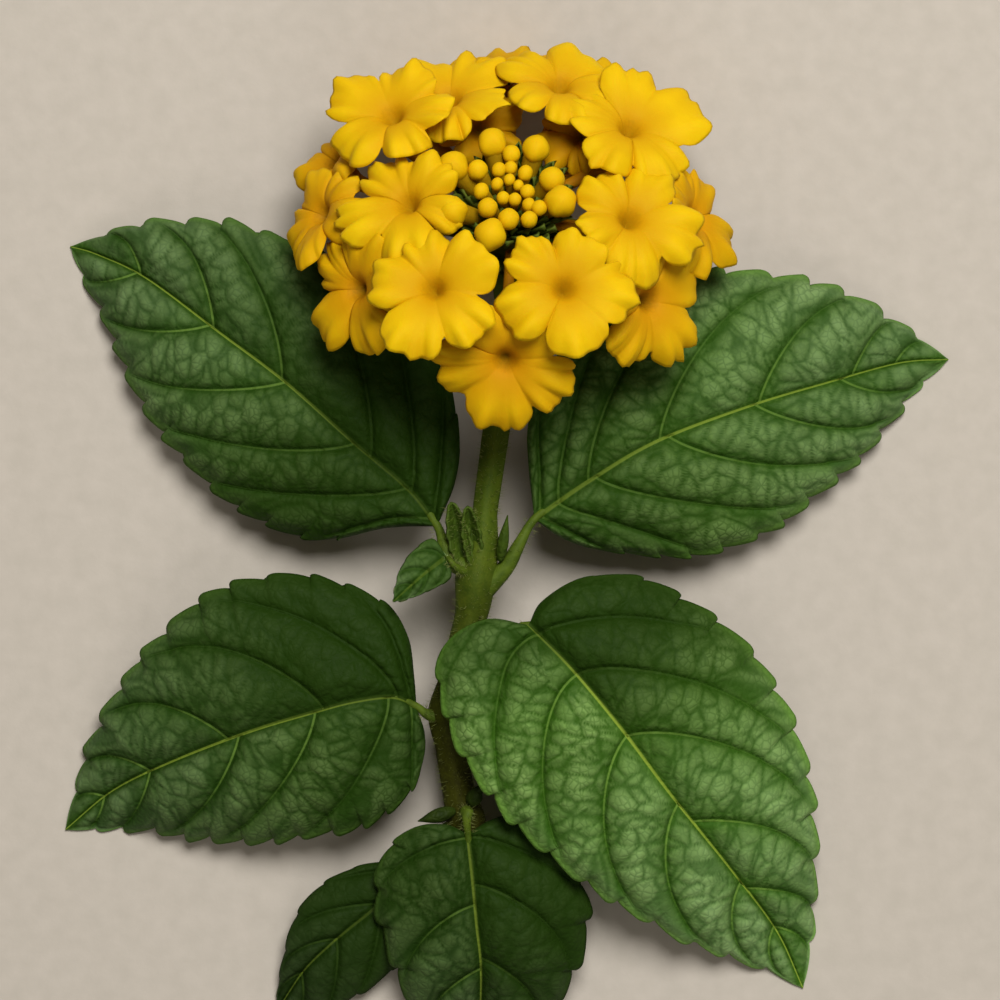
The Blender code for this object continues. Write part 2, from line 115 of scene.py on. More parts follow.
YOUNG_LEAN = math.radians(-30)
BUD_DISC_HEIGHT = 7.6
BUD_DISC_CROWN = 0.5
BUD_DISC_RADIUS = 5.5
GOLDEN_TURN = 2.39996
TUBE_RADIUS = 0.5

# Scales stand between the buds and under the head. Places are a distance from the head's axis and a
# height along it.
SCALES = 90
SCALE_REACH = (0.6, 5.9)
SCALE_HEIGHTS = (2.6, 6.2)
UNDER_SCALES = 18
UNDER_SCALE_FOOT = (2.2, -1.4)
UNDER_SCALE_TIP = (6.6, -0.6)
SCALE_WIDTH = 1.5
SCALE_THICKNESS = 0.18

# Columns and rows of faces
LIMB_GRID = (120, 24)
FLORET_TUBE_GRID = (14, 18)
BUD_GRID = (28, 16)
BUD_STALK_GRID = (12, 8)
SCALE_GRID = (6, 10)
CORE_GRID = (40, 24)

# Each floret's turn round the head in degrees, its throat's distance from the head's axis, its height
# along the axis and its size. The young ones stand half open at the back of the buds.
UPPER_FLORETS = (
    (68, 12.7, 6.8, 0.96),
    (119, 12.4, 5.9, 1.04),
    (146, 13.9, 7.5, 1.0),
    (192, 10.1, 7.0, 0.98),
    (238, 13.9, 7.0, 1.02),
    (293, 12.8, 7.0, 1.02),
    (341, 12.0, 7.0, 0.95),
    (30, 13.3, 7.0, 1.04),
)
LOWER_FLORETS = (
    (180, 18.3, 2.0, 0.86),
    (210, 17.0, 2.0, 1.0),
    (268, 16.5, 2.0, 1.04),
    (323, 16.3, 2.0, 1.0),
    (359, 17.6, 2.0, 0.88),
    (48, 17.5, 2.0, 0.86),
    (91, 17.4, 2.0, 0.88),
    (126, 17.5, 2.0, 0.86),
    (160, 18.2, 2.0, 0.7),
)
YOUNG_FLORETS = ((50, 10.2, 4.2, 0.68), (108, 9.9, 3.1, 0.7))

# Each bud's turn round the head in degrees, its distance from the axis and its radius.
BUDS = (
    (111, 5.2, 1.47), (90, 3.6, 0.93), (60, 4.8, 1.4), (47, 2.0, 0.84), (9, 4.0, 1.26),
    (337, 1.7, 0.74), (337, 5.2, 1.59), (315, 3.8, 0.8), (307, 2.8, 0.7), (266, 4.0, 1.09),
    (293, 4.4, 0.86), (229, 3.5, 1.01), (251, 6.3, 1.64), (193, 3.0, 0.84), (123, 2.2, 0.78),
    (92, 2.1, 0.7), (152, 3.7, 1.04), (161, 6.0, 1.56), (210, 6.5, 1.45), (170, 1.4, 0.68),
    (103, 0.8, 0.63), (240, 1.6, 0.68), (282, 1.6, 0.68), (11, 0.7, 0.58),
)

# Stem: its skin's grid, and how many hairs a piece has and how long they are.
STEM_GRID = (40, 260)
CUT_GRID = (24, 6)
CUT_RADIUS = 1.5
LEAFLET_GRID = (16, 36)
LEAFLET_THICKNESS = 0.25
LEAF_BUD_GRID = (14, 22)
STEM_HAIRS = (1700, 0.8)
LEAFLET_HAIRS = (90, 0.7)
PETIOLE_HAIRS = (110, 0.6)
HAIR_RADII = (0.028, 0.004)

# The stem's middle line with its radius at each place, from the cut end to the head.
STEM = (
    (-2.7, -46.0, 1.4, 1.55),
    (-2.9, -39.0, 2.9, 1.5),
    (-3.2, -34.6, 4.0, 1.6),
    (-3.4, -32.2, 4.5, 1.95),
    (-4.1, -29.3, 5.1, 1.55),
    (-4.9, -24.5, 6.2, 1.5),
    (-5.2, -21.3, 6.9, 1.95),
    (-4.6, -18.3, 7.5, 1.55),
    (-2.9, -11.6, 8.4, 1.55),
    (-2.4, -7.9, 8.9, 2.0),
    (-1.8, -4.4, 8.9, 1.6),
    (-1.5, -1.2, 8.4, 1.2),
    (-0.4, 6.8, 7.3, 1.3),
    (0.5, 14.0, 6.5, 1.35),
    (0.9, 19.5, 7.0, 1.4),
    (1.0, 23.2, 9.0, 1.9),
)

# Young leaves and closed leaf buds at the nodes, each from its foot to its tip with its width; the
# buds' finish follows.
LEAFLETS = (
    ((-3.3, -7.0, 9.8), (-4.8, -0.3, 11.4), 1.45),
    ((-2.4, -6.4, 10.0), (-3.2, -0.7, 11.8), 1.2),
)
LEAF_BUDS = (
    ((0.0, -6.0, 9.9), (0.75, -1.5, 12.0), 0.8, "leaflet"),
    ((-4.5, -31.0, 6.2), (-8.2, -32.0, 6.9), 1.1, "dark_leaflet"),
    ((-3.0, -30.4, 6.3), (-1.8, -28.2, 8.0), 1.2, "dark_leaflet"),
)

# The name and colours of the petals and buds: bright; deeper in the folds, as painted shade, and towards
# the throat; and at the throat. The second, darker petal finish is partly the older outer florets' own
# deeper colour and partly painted shade.
YELLOWS = {
    "petal": ("petals", (0.79, 0.505, 0.0022), (0.60, 0.30, 0.0015), (0.40, 0.22, 0.002)),
    "deeper_and_shaded_petal": ("deeper_and_shaded_petals", (0.70, 0.42, 0.0018), (0.56, 0.25, 0.0012), (0.25, 0.135, 0.003)),
    "tube": ("floret_tubes", (0.55, 0.27, 0.0015), (0.45, 0.18, 0.0015), (0.40, 0.17, 0.002)),
    "bud": ("buds", (0.78, 0.50, 0.0025), (0.58, 0.31, 0.002), (0.50, 0.26, 0.002)),
    "bud_stalk": ("bud_stalks", (0.46, 0.29, 0.003), (0.40, 0.24, 0.003), (0.38, 0.23, 0.004)),
}

# Each leaf has its petiole's path from inside the stem, its midrib with heights, and its outline on the
# left and on the right of the midrib between base and tip, as seen from the base. Then, for the left
# and the right side: how far it droops, how many teeth it has, where each side vein leaves the midrib
# and meets the edge, how much painted shade lies beside the midrib, and how much painted shade lies at
# the base and how far along the leaf that reaches. tone is how light its green is, set lower on the
# leaves that lie in shade and higher on the lit one, so it is partly the leaf's own colour and partly
# painted shade and light. relief is how deep its folds are, and 1 where it isn't given. petiole_sunk is 1
# where the petiole keeps below the blade's groove from the blade's very base.
LEAVES = {
    "leaf_upper_left": {
        "petiole_radius": 0.85,
        "petiole": ((-2.6, -7.2, 9.0), (-4.9, -5.9, 9.4), (-5.6, -4.4, 9.4)),
        "midrib": ((-6.2, -2.6, 9.2), (-9.0, 1.0, 9.0), (-14.5, 5.7, 8.9), (-21.3, 11.7, 8.5),
                   (-28.1, 16.8, 7.0), (-35.4, 22.2, 4.2), (-40.5, 24.7, 1.3), (-43.4, 25.6, 0.3)),
        "left": ((-11.3, -2.8), (-18.5, -4.1), (-26.0, -1.1), (-31.8, 4.2), (-36.0, 9.7), (-39.0, 16.5),
                 (-41.9, 22.2)),
        "right": ((-4.4, 2.0), (-4.0, 7.0), (-5.5, 13.0), (-10.0, 20.0), (-15.5, 23.8), (-21.3, 25.9),
                  (-27.3, 27.8), (-35.0, 27.8), (-38.8, 27.0)),
        "droop": (4.6, 2.0),
        "teeth": (15, 15),
        "veins": (((0.02, 0.24), (0.1, 0.49), (0.24, 0.63), (0.43, 0.74), (0.63, 0.85), (0.83, 0.93)),
                  ((0.02, 0.28), (0.09, 0.45), (0.2, 0.62), (0.44, 0.77), (0.62, 0.85), (0.82, 0.93))),
        "shade": (0.2, 0.5),
        "base_shade": ((0.85, 0.68), (1.0, 0.85)),
        "pale_veins": 0.75,
        "tone": 0.62,
        "grid": (112, 226),
    },
    "leaf_upper_right": {
        "petiole_radius": 0.85,
        "petiole": ((-1.9, -9.2, 8.8), (0.55, -6.7, 9.1), (1.9, -4.4, 9.3)),
        "midrib": ((3.4, -1.9, 9.3), (8.7, 1.8, 9.2), (15.5, 5.8, 8.8), (25.0, 9.4, 7.3), (32.6, 11.7, 5.0),
                   (40.2, 13.8, 1.4), (45.3, 14.2, 0.3)),
        "left": ((2.8, 3.8), (2.9, 8.5), (5.5, 14.5), (10.0, 19.0), (15.5, 21.8), (22.6, 22.9),
                 (30.6, 22.0), (36.5, 20.0), (41.1, 17.1)),
        "right": ((6.6, -4.0), (11.5, -5.3), (19.5, -5.7), (27.1, -3.1), (32.2, 0.8), (36.8, 4.8),
                  (41.3, 10.3)),
        "droop": (2.0, 4.4),
        "teeth": (15, 15),
        "veins": (((0.015, 0.22), (0.065, 0.42), (0.14, 0.58), (0.315, 0.72), (0.545, 0.82), (0.77, 0.89),
                   (0.88, 0.95)),
                  ((0.015, 0.16), (0.06, 0.37), (0.157, 0.6), (0.335, 0.75), (0.535, 0.85), (0.74, 0.93))),
        "shade": (0.4, 0.5),
        "base_shade": ((0.55, 0.6), (0.5, 0.6)),
        "pale_veins": 0.45,
        "tone": 0.82,
        "grid": (112, 222),
    },
    "leaf_lower_left": {
        "petiole_radius": 0.75,
        "petiole": ((-4.7, -21.9, 7.0), (-6.9, -21.4, 7.6), (-7.7, -21.0, 8.1)),
        "midrib": ((-8.3, -20.5, 8.6), (-10.6, -19.5, 9.8), (-14.4, -19.9, 10.4), (-18.5, -21.0, 10.2),
                   (-24.9, -23.0, 8.8), (-32.7, -26.1, 5.6), (-38.9, -29.2, 1.9), (-43.9, -33.3, 0.3)),
        "left": ((-7.5, -23.2), (-7.6, -25.8), (-8.8, -29.2), (-13.0, -32.4), (-17.5, -33.4),
                 (-24.0, -34.3), (-30.0, -34.1), (-36.0, -33.3)),
        "right": ((-8.5, -17.7), (-9.1, -13.6), (-11.1, -10.3), (-15.5, -8.2), (-21.0, -7.3), (-28.0, -8.8),
                  (-33.4, -12.9), (-38.3, -19.0), (-41.7, -25.6)),
        "droop": (4.4, 2.4),
        "teeth": (15, 15),
        "veins": (((0.02, 0.2), (0.08, 0.47), (0.26, 0.66), (0.46, 0.78), (0.72, 0.88), (0.87, 0.95)),
                  ((0.015, 0.25), (0.06, 0.54), (0.24, 0.69), (0.49, 0.8), (0.72, 0.89), (0.87, 0.95))),
        "shade": (0.3, 0.6),
        "base_shade": ((0.5, 0.5), (1.0, 0.78)),
        "pale_veins": 0.75,
        "tone": 0.55,
        "grid": (112, 222),
    },
    "leaf_lower_right": {
        "petiole_radius": 0.85,
        "petiole_sunk": 1.0,
        "petiole": ((-5.0, -21.3, 7.6), (-3.9, -20.6, 9.6), (-2.4, -17.6, 10.6), (0.2, -14.2, 12.4)),
        "midrib": ((2.8, -12.3, 13.4), (7.0, -16.5, 13.8), (11.8, -22.3, 13.0), (16.8, -29.0, 11.0),
                   (23.0, -36.8, 6.9), (27.8, -43.3, 2.2), (30.6, -49.3, 0.3)),
        "left": ((4.2, -9.9), (8.3, -7.6), (13.8, -7.5), (19.0, -10.0), (24.2, -14.0), (28.1, -19.7),
                 (30.9, -27.3), (31.7, -36.3), (31.4, -44.4)),
        "right": ((-1.1, -11.7), (-4.6, -13.3), (-6.3, -16.0), (-5.8, -20.0), (-4.2, -24.5), (-0.5, -30.0),
                  (4.5, -35.0), (10.4, -39.4), (17.0, -43.3), (22.2, -45.6), (27.0, -47.5)),
        "droop": (4.6, 2.2),
        "teeth": (14, 15),
        "veins": (((0.03, 0.4), (0.14, 0.62), (0.3, 0.72), (0.53, 0.8), (0.73, 0.87), (0.85, 0.94)),
                  ((0.03, 0.45), (0.14, 0.58), (0.3, 0.72), (0.48, 0.85), (0.71, 0.92), (0.85, 0.965))),
        "shade": (0.75, 0.1),
        "base_shade": ((1.0, 0.6), (0.7, 0.34)),
        "pale_veins": 0.6,
        "tone": 1.12,
        "grid": (128, 258),
    },
    "leaf_base_middle": {
        "petiole_radius": 0.7,
        "petiole": ((-3.4, -31.6, 5.2), (-3.3, -31.0, 8.0), (-3.3, -32.2, 8.1)),
        "midrib": ((-3.2, -33.2, 8.1), (-2.7, -37.8, 8.3), (-2.3, -42.4, 7.7), (-1.9, -46.4, 6.2),
                   (-2.0, -51.6, 2.5), (-2.4, -56.8, 0.3)),
        "left": ((-1.0, -31.9), (1.5, -31.6), (6.0, -34.5), (8.8, -39.5), (8.6, -43.9), (6.5, -49.3),
                 (3.0, -53.5)),
        "right": ((-5.5, -32.3), (-9.0, -32.7), (-11.8, -35.5), (-12.5, -39.5), (-11.5, -44.3),
                  (-9.3, -49.6), (-6.0, -54.0)),
        "droop": (2.6, 2.2),
        "teeth": (8, 8),
        "veins": (((0.02, 0.42), (0.2, 0.66), (0.5, 0.82), (0.75, 0.92)),
                  ((0.02, 0.4), (0.28, 0.68), (0.55, 0.83), (0.78, 0.93))),
        "shade": (0.4, 0.3),
        "base_shade": ((0.9, 1.2), (0.4, 0.7)),
        "pale_veins": 0.7,
        "tone": 0.41,
        "grid": (84, 140),
    },
    "leaf_base_left": {
        "petiole_radius": 0.7,
        "petiole": ((-3.6, -32.0, 4.6), (-5.9, -33.4, 4.5), (-6.6, -34.7, 4.4)),
        "midrib": ((-7.5, -36.2, 4.3), (-12.0, -40.4, 4.3), (-16.0, -43.7, 3.9), (-19.2, -46.7, 2.9),
                   (-21.2, -49.5, 1.3), (-22.8, -52.2, 0.3)),
        "left": ((-6.8, -40.0), (-7.5, -44.0), (-10.6, -47.2), (-14.2, -49.8), (-18.2, -51.6)),
        "right": ((-11.2, -36.2), (-14.6, -36.8), (-18.2, -38.8), (-20.6, -42.0), (-22.0, -46.8)),
        "droop": (1.6, 1.2),
        "teeth": (6, 7),
        "veins": (((0.03, 0.4), (0.28, 0.66), (0.52, 0.8), (0.75, 0.92)),
                  ((0.03, 0.4), (0.28, 0.66), (0.52, 0.8), (0.75, 0.92))),
        "shade": (0.4, 0.4),
        "base_shade": ((0.75, 1.1), (0.7, 1.0)),
        "pale_veins": 0.3,
        "relief": 0.4,
        "tone": 0.2,
        "grid": (66, 112),
    },
    "leaf_axil": {
        "petiole_radius": 0.45,
        "petiole_sunk": 1.0,
        "petiole": ((-3.0, -7.4, 9.6), (-4.4, -6.6, 11.1), (-4.8, -6.1, 11.4)),
        "midrib": ((-5.3, -5.6, 11.6), (-7.6, -7.4, 11.8), (-10.6, -10.1, 11.0)),
        "left": ((-4.8, -7.6), (-6.8, -8.9), (-8.8, -9.7)),
        "right": ((-6.6, -3.8), (-8.5, -4.9), (-10.0, -7.1)),
        "droop": (0.6, 0.5),
        "teeth": (5, 5),
        "veins": (((0.05, 0.5), (0.35, 0.75), (0.65, 0.9)),
                  ((0.05, 0.5), (0.35, 0.75), (0.65, 0.9))),
        "shade": (0.3, 0.3),
        "base_shade": ((0.2, 0.6), (0.2, 0.6)),
        "pale_veins": 0.0,
        "relief": 0.3,
        "tone": 0.6,
        "grid": (40, 60),
    },
}


class Path:
    """A smooth line through points, read at shares of its length."""

    def __init__(self, points):
        points = np.array(points, float)
        padded = np.vstack((2 * points[0] - points[1], points, 2 * points[-1] - points[-2]))
        rows = []
        for i in range(1, len(padded) - 2):
            a, b, c, d = padded[i - 1 : i + 3]
            t = (np.arange(PATH_STEPS) / PATH_STEPS)[:, None]
            rows.append(0.5 * (2 * b + (c - a) * t + (2 * a - 5 * b + 4 * c - d) * t**2
                               + (3 * b - a - 3 * c + d) * t**3))
        self.points = np.vstack((*rows, points[-1]))
        steps = np.linalg.norm(np.diff(self.points, axis=0), axis=1)
        self.length = steps.sum()
        self.shares = np.concatenate(((0.0,), np.cumsum(steps))) / self.length

    def at(self, share):
        share = np.clip(share, 0, 1)
        return np.stack([np.interp(share, self.shares, column) for column in self.points.T], axis=-1)

    def step(self, share):
        """A short way ahead along the line, round a share of its length."""
        return self.at(share + 0.01) - self.at(share - 0.01)


def unit(vector):
    return vector / np.linalg.norm(vector)


def unit_rows(rows):
    return rows / np.linalg.norm(rows, axis=1)[:, None]


def smooth(low, high, value):
    part = np.clip((value - low) / (high - low), 0, 1)
    return part * part * (3 - 2 * part)


def near(distance, width):
    """1 on a line and fading to 0 away from it."""
    return np.exp(-((distance / width) ** 2))


def hump(share):
    """0 at both ends and 1 in the middle."""
    return np.clip(np.sin(np.pi * np.clip(share, 0, 1)), 0, 1) ** 0.7


def as_mesh(name, bm):
    mesh = bpy.data.meshes.new(name)
    bm.to_mesh(mesh)
    bm.free()
    return mesh


def grid_object(name, grid, shape, materials):
    """A sheet of faces, with its doubles merged. grid is how many columns and rows it has. shape takes
    their shares and gives places in millimetres and attributes."""
    bm = bmesh.new()
    bm.loops.layers.uv.new("UVMap")
    bmesh.ops.create_grid(bm, x_segments=grid[0], y_segments=grid[1], size=0.5, calc_uvs=True)
    mesh = as_mesh(name, bm)
    flat = np.empty(len(mesh.vertices) * 3, np.float32)
    mesh.vertices.foreach_get("co", flat)
    flat = flat.reshape(-1, 3).astype(float)
    places, attributes = shape(np.clip(flat[:, 0] + 0.5, 0, 1), np.clip(flat[:, 1] + 0.5, 0, 1))
    places[:, 2] = np.maximum(places[:, 2], LOWEST)
    places = (places - MIDDLE) * MM
    mesh.vertices.foreach_set("co", places.astype(np.float32).ravel())
    for key, values in attributes.items():
        layer = mesh.attributes.new(key, "FLOAT", "POINT")
        layer.data.foreach_set("value", np.asarray(values, np.float32))
    bm = bmesh.new()
    bm.from_mesh(mesh)
    bmesh.ops.remove_doubles(bm, verts=bm.verts, dist=1e-6)
    bm.to_mesh(mesh)
    bm.free()
    return finished(name, mesh, materials)


def finished(name, mesh, materials):
    """The mesh as a smooth object in the scene."""
    for made in materials:
        mesh.materials.append(made)
    mesh.shade_smooth()
    obj = bpy.data.objects.new(name, mesh)
    bpy.context.scene.collection.objects.link(obj)
    return obj


def turn_outwards(mesh):
    bm = bmesh.new()
    bm.from_mesh(mesh)
    bmesh.ops.recalc_face_normals(bm, faces=bm.faces)
    bm.to_mesh(mesh)
    bm.free()


def give_thickness(obj, thickness, offset, under=0):
    wall = obj.modifiers.new("Thickness", "SOLIDIFY")
    wall.thickness = thickness * MM
    wall.offset = offset
    wall.material_offset = under
    wall.use_even_offset = False


def joined(name, objects):
    """Several mesh objects as one, with their materials kept."""
    bm = bmesh.new()
    materials = []
    graph = bpy.context.evaluated_depsgraph_get()
    for obj in objects:
        mesh = bpy.data.meshes.new_from_object(obj.evaluated_get(graph))
        places = {}
        for i, made in enumerate(obj.data.materials):
            if made not in materials:
                materials.append(made)
            places[i] = materials.index(made)
        for face in mesh.polygons:
            face.material_index = places.get(face.material_index, 0)
        bm.from_mesh(mesh)
        bpy.data.meshes.remove(mesh)
    for obj in objects:
        bpy.data.objects.remove(obj)
    return finished(name, as_mesh(name, bm), materials)


# Materials


class Shader:
    """A Principled material and short ways to add nodes to it."""

    def __init__(self, name, roughness, **sockets):
        self.material = bpy.data.materials.new(name)
        self.material.use_nodes = True
        self.tree = self.material.node_tree
        self.main = self.tree.nodes["Principled BSDF"]
        self.main.inputs["Roughness"].default_value = roughness
        for key, value in sockets.items():
            self.main.inputs[key.replace("_", " ")].default_value = value

    def node(self, kind, **settings):
        made = self.tree.nodes.new(kind)
        for key, value in settings.items():
            setattr(made, key, value)
        return made

    def link(self, source, target):
        self.tree.links.new(source, target)

    def attribute(self, name):
        return self.node("ShaderNodeAttribute", attribute_name=name).outputs["Fac"]

    def place(self, scale):
        """Object coordinates, scaled so that 1 is one millimetre divided by the scale."""
        mapping = self.node("ShaderNodeMapping")
        mapping.inputs["Scale"].default_value = (scale / MM,) * 3
        self.link(self.node("ShaderNodeTexCoord").outputs["Object"], mapping.inputs["Vector"])
        return mapping.outputs["Vector"]

    def noise(self, scale, detail=3.0):
        made = self.node("ShaderNodeTexNoise")
        made.inputs["Scale"].default_value = 1.0
        made.inputs["Detail"].default_value = detail
        self.link(self.place(scale), made.inputs["Vector"])
        return made.outputs["Fac"]

    def cells(self, size):
        """Distance to the walls of random cells of about the given size in millimetres."""
        made = self.node("ShaderNodeTexVoronoi", feature="DISTANCE_TO_EDGE")
        made.inputs["Scale"].default_value = 1.0 / size
        self.link(self.place(1.0), made.inputs["Vector"])
        return made.outputs["Distance"]

    def math(self, operation, first, second=0.5):
        made = self.node("ShaderNodeMath", operation=operation)
        for socket, value in zip(made.inputs, (first, second)):
            if isinstance(value, (int, float)):
                socket.default_value = value
            else:
                self.link(value, socket)
        return made.outputs[0]

    def times(self, first, second):
        return self.math("MULTIPLY", first, second)

    def span(self, value, low, high, to_low=0.0, to_high=1.0):
        made = self.node("ShaderNodeMapRange")
        made.inputs["From Min"].default_value = low
        made.inputs["From Max"].default_value = high
        made.inputs["To Min"].default_value = to_low
        made.inputs["To Max"].default_value = to_high
        self.link(value, made.inputs["Value"])
        return made.outputs["Result"]

    def patches(self, scale, low=0.3, high=0.7, most=1.0, detail=3.0):
        """Soft patches of noise, from 0 to the most that they reach."""
        return self.span(self.noise(scale, detail), low, high, 0.0, most)

    def mix(self, share, first, second):
        made = self.node("ShaderNodeMix", data_type="RGBA")
        for socket, value in ((made.inputs[0], share), (made.inputs[6], first), (made.inputs[7], second)):
            if isinstance(value, (int, float)):
                socket.default_value = value
            elif isinstance(value, tuple):
                socket.default_value = (*value, 1)
            else:
                self.link(value, socket)
        return made.outputs[2]

    def layered(self, colour, layers):
        """A colour with others laid over it in turn, each by its share."""
        for share, over in layers:
            colour = self.mix(share, colour, over)
        return colour

    def colour(self, source):
        self.link(source, self.main.inputs["Base Color"])

    def roughness(self, source):
        self.link(source, self.main.inputs["Roughness"])

    def bump(self, height, distance, strength):
        made = self.node("ShaderNodeBump")
        made.inputs["Strength"].default_value = strength
        made.inputs["Distance"].default_value = distance * MM
        self.link(height, made.inputs["Height"])
        self.link(made.outputs["Normal"], self.main.inputs["Normal"])


def toned(colour, tone):
    return tuple(part * tone for part in colour)


def vein_masks(shader):
    """The midrib, the side veins' pale threads and grooves, the small cross veins and the fine net."""
    midrib_width = shader.span(shader.attribute("along"), 0.0, 1.0, MIDRIB_WIDTH, 0.06)
    from_midrib = shader.math("ABSOLUTE", shader.attribute("from_midrib"))
    from_midrib = shader.math("DIVIDE", from_midrib, midrib_width)
    vein_width = shader.span(shader.attribute("reach"), 0.0, 0.95, 0.12, 0.055)
    from_vein = shader.math("DIVIDE", shader.math("ABSOLUTE", shader.attribute("from_vein")), vein_width)
    at_vein = shader.span(shader.attribute("vein_side"), 0.1, 0.5)
    return {
        "midrib": shader.span(from_midrib, 0.7, 1.15, 1.0, 0.0),
        "thread": shader.times(shader.span(from_vein, 0.6, 1.3, 1.0, 0.0), at_vein),
        "groove": shader.times(shader.span(from_vein, 1.2, 4.2, 1.0, 0.0), at_vein),
        "rung": shader.attribute("rung"),
        "walls": shader.cells(FINE_CELL),
    }


def leaf_top(name, tone, rib_share):
    """Dark green in the grooves and lighter on the crowns, partly the leaf's own colour and partly painted
    shade and light, with a paler rim and pale veins, painted shade near the base and a painted sheen
    towards the tip.
    """
    shader = Shader(name, 0.6, Specular_IOR_Level=0.055)
    veins = vein_masks(shader)
    crown = shader.attribute("crown")
    speckle = shader.noise(2.2, 4.0)
    # A painted sheen: the crowns grow paler towards the tip, where the blade droops away.
    painted_tip_sheen = shader.span(shader.attribute("along"), 0.4, 1.0, 0.0, 0.5)
    net = shader.span(veins["walls"], 0.01, 0.15, 0.6, 0.0)
    # dark is painted shade: it darkens the fine net on the crowns, the small cross veins and the side veins'
    # grooves, where the surface lies low.
    dark = toned((0.022, 0.078, 0.003), tone)
    thread = toned((0.155, 0.280, 0.045), 0.35 + 0.65 * tone)
    rib = toned((0.225, 0.320, 0.036), 0.4 + 0.6 * tone)
    green = shader.mix(crown, toned((0.024, 0.074, 0.004), tone), toned((0.195, 0.325, 0.095), tone))
    green = shader.layered(green, (
        (shader.patches(0.2, 0.35, 0.7, 0.3), toned((0.070, 0.185, 0.016), tone)),
        (shader.span(speckle, 0.45, 0.75, 0.0, 0.2), toned((0.220, 0.390, 0.085), tone)),
        (shader.span(shader.attribute("rim"), 0.0, 1.0, 0.0, 0.55), toned((0.150, 0.330, 0.040), tone)),
        (shader.times(net, crown), dark),
        (shader.times(veins["rung"], 0.8), dark),
        (shader.times(veins["groove"], 0.52), dark),
        (shader.times(veins["thread"], shader.attribute("pale")), thread),
        (shader.times(veins["midrib"], rib_share), rib),
        (shader.times(painted_tip_sheen, crown), toned((0.275, 0.420, 0.215), tone)),
        # Painted shade near the leaf's base, reaching as far along as base_shade gives.
        (shader.times(shader.attribute("painted_shade"), 0.93), (0.012, 0.033, 0.002)),
    ))
    shader.colour(green)
    shader.roughness(shader.span(speckle, 0.3, 0.8, 0.55, 0.68))
    fine = shader.span(veins["walls"], 0.0, 0.35)
    height = shader.math("ADD", fine, shader.times(shader.noise(6.0), 0.4))
    height = shader.math("SUBTRACT", height, shader.times(veins["groove"], 0.8))
    height = shader.math("ADD", height, shader.times(veins["thread"], 0.9))
    shader.bump(height, 0.06, 0.7)
    return shader.material


def leaf_under():
    """Paler green, with the veins standing out."""
    shader = Shader("leaf_underside", 0.62, Specular_IOR_Level=0.2, Sheen_Weight=0.08, Sheen_Roughness=0.5)
    veins = vein_masks(shader)
    green = shader.mix(shader.attribute("crown"), (0.125, 0.215, 0.062), (0.080, 0.155, 0.036))
    shader.colour(shader.layered(green, (
        (shader.patches(0.5, most=0.4), (0.110, 0.180, 0.050)),
        (shader.span(veins["walls"], 0.02, 0.12, 0.5, 0.0), (0.165, 0.250, 0.085)),
        (shader.times(veins["rung"], 0.7), (0.185, 0.270, 0.095)),
        (shader.math("MAXIMUM", veins["thread"], veins["midrib"]), (0.235, 0.310, 0.110)),
    )))
    shader.bump(shader.math("SUBTRACT", shader.noise(6.0), veins["groove"]), 0.06, 0.7)
    return shader.material


def patchy_material(name, roughness, gloss, patches, dark, light, grain=None, detail=3.0):
    """Two colours in soft patches of the given scale. grain is its bump's scale, height and strength."""
    shader = Shader(name, roughness, Specular_IOR_Level=gloss)
    shader.colour(shader.mix(shader.patches(patches, detail=detail), dark, light))
    if grain:
        scale, height, strength = grain
        shader.bump(shader.noise(scale), height, strength)
    return shader.material


def stem_material():
    shader = Shader("stem_skin", 0.65, Specular_IOR_Level=0.1)
    age = shader.attribute("age")
    patches = shader.noise(0.6)
    young = shader.mix(shader.span(patches, 0.3, 0.7), (0.042, 0.078, 0.005), (0.082, 0.122, 0.008))
    old = shader.mix(shader.span(patches, 0.35, 0.65), (0.027, 0.028, 0.0025), (0.045, 0.050, 0.003))
    skin = shader.mix(age, young, old)
    skin = shader.mix(shader.patches(3.5, 0.5, 0.75, 0.3), skin, (0.110, 0.125, 0.012))
    shader.colour(skin)
    shader.bump(shader.noise(4.0, 4.0), 0.09, 0.8)
    return shader.material


def petal_material(name, bright, folded, throat):
    """Bright at the rim, and deeper in the folds, which is painted shade, and towards the throat, partly the
    flower's own colour and partly painted shade in its funnel, with a soft dark spot there.
    """
    shader = Shader(name, 0.65, Specular_IOR_Level=0.08, Subsurface_Weight=0.15, Subsurface_Scale=0.0012)
    shader.main.inputs["Subsurface Radius"].default_value = (1.0, 0.45, 0.04)
    out = shader.attribute("out")
    speckled = shader.math("ADD", out, shader.span(shader.noise(3.0), 0.2, 0.8, -0.25, 0.25))
    shader.colour(shader.layered(bright, (
        (shader.patches(0.3, most=0.35), folded),
        (shader.span(shader.attribute("fold"), 0.0, 1.0, 0.0, 0.75), folded),
        (shader.span(out, 1.2, 4.8, 0.95, 0.0), folded),
        (shader.span(speckled, 0.45, 1.5, 0.85, 0.0), throat),
    )))
    height = shader.math("ADD", shader.noise(1.0, 2.0), shader.times(shader.noise(7.0), 0.25))
    shader.bump(height, 0.07, 0.5)
    return shader.material


def leaflet_material(name, tone):
    """Young leaves at the nodes: mid green with paler edges."""
    shader = Shader(name, 0.6, Specular_IOR_Level=0.13)
    green = shader.mix(shader.patches(0.7), toned((0.034, 0.070, 0.005), tone),
                       toned((0.075, 0.135, 0.010), tone))
    rim = shader.span(shader.attribute("rim"), 0.55, 1.0, 0.0, 0.4)
    shader.colour(shader.mix(rim, green, toned((0.100, 0.165, 0.018), tone)))
    height = shader.math("ADD", shader.noise(4.0), shader.span(shader.cells(0.6), 0.0, 0.3))
    shader.bump(height, 0.07, 0.8)
    return shader.material


# Leaves


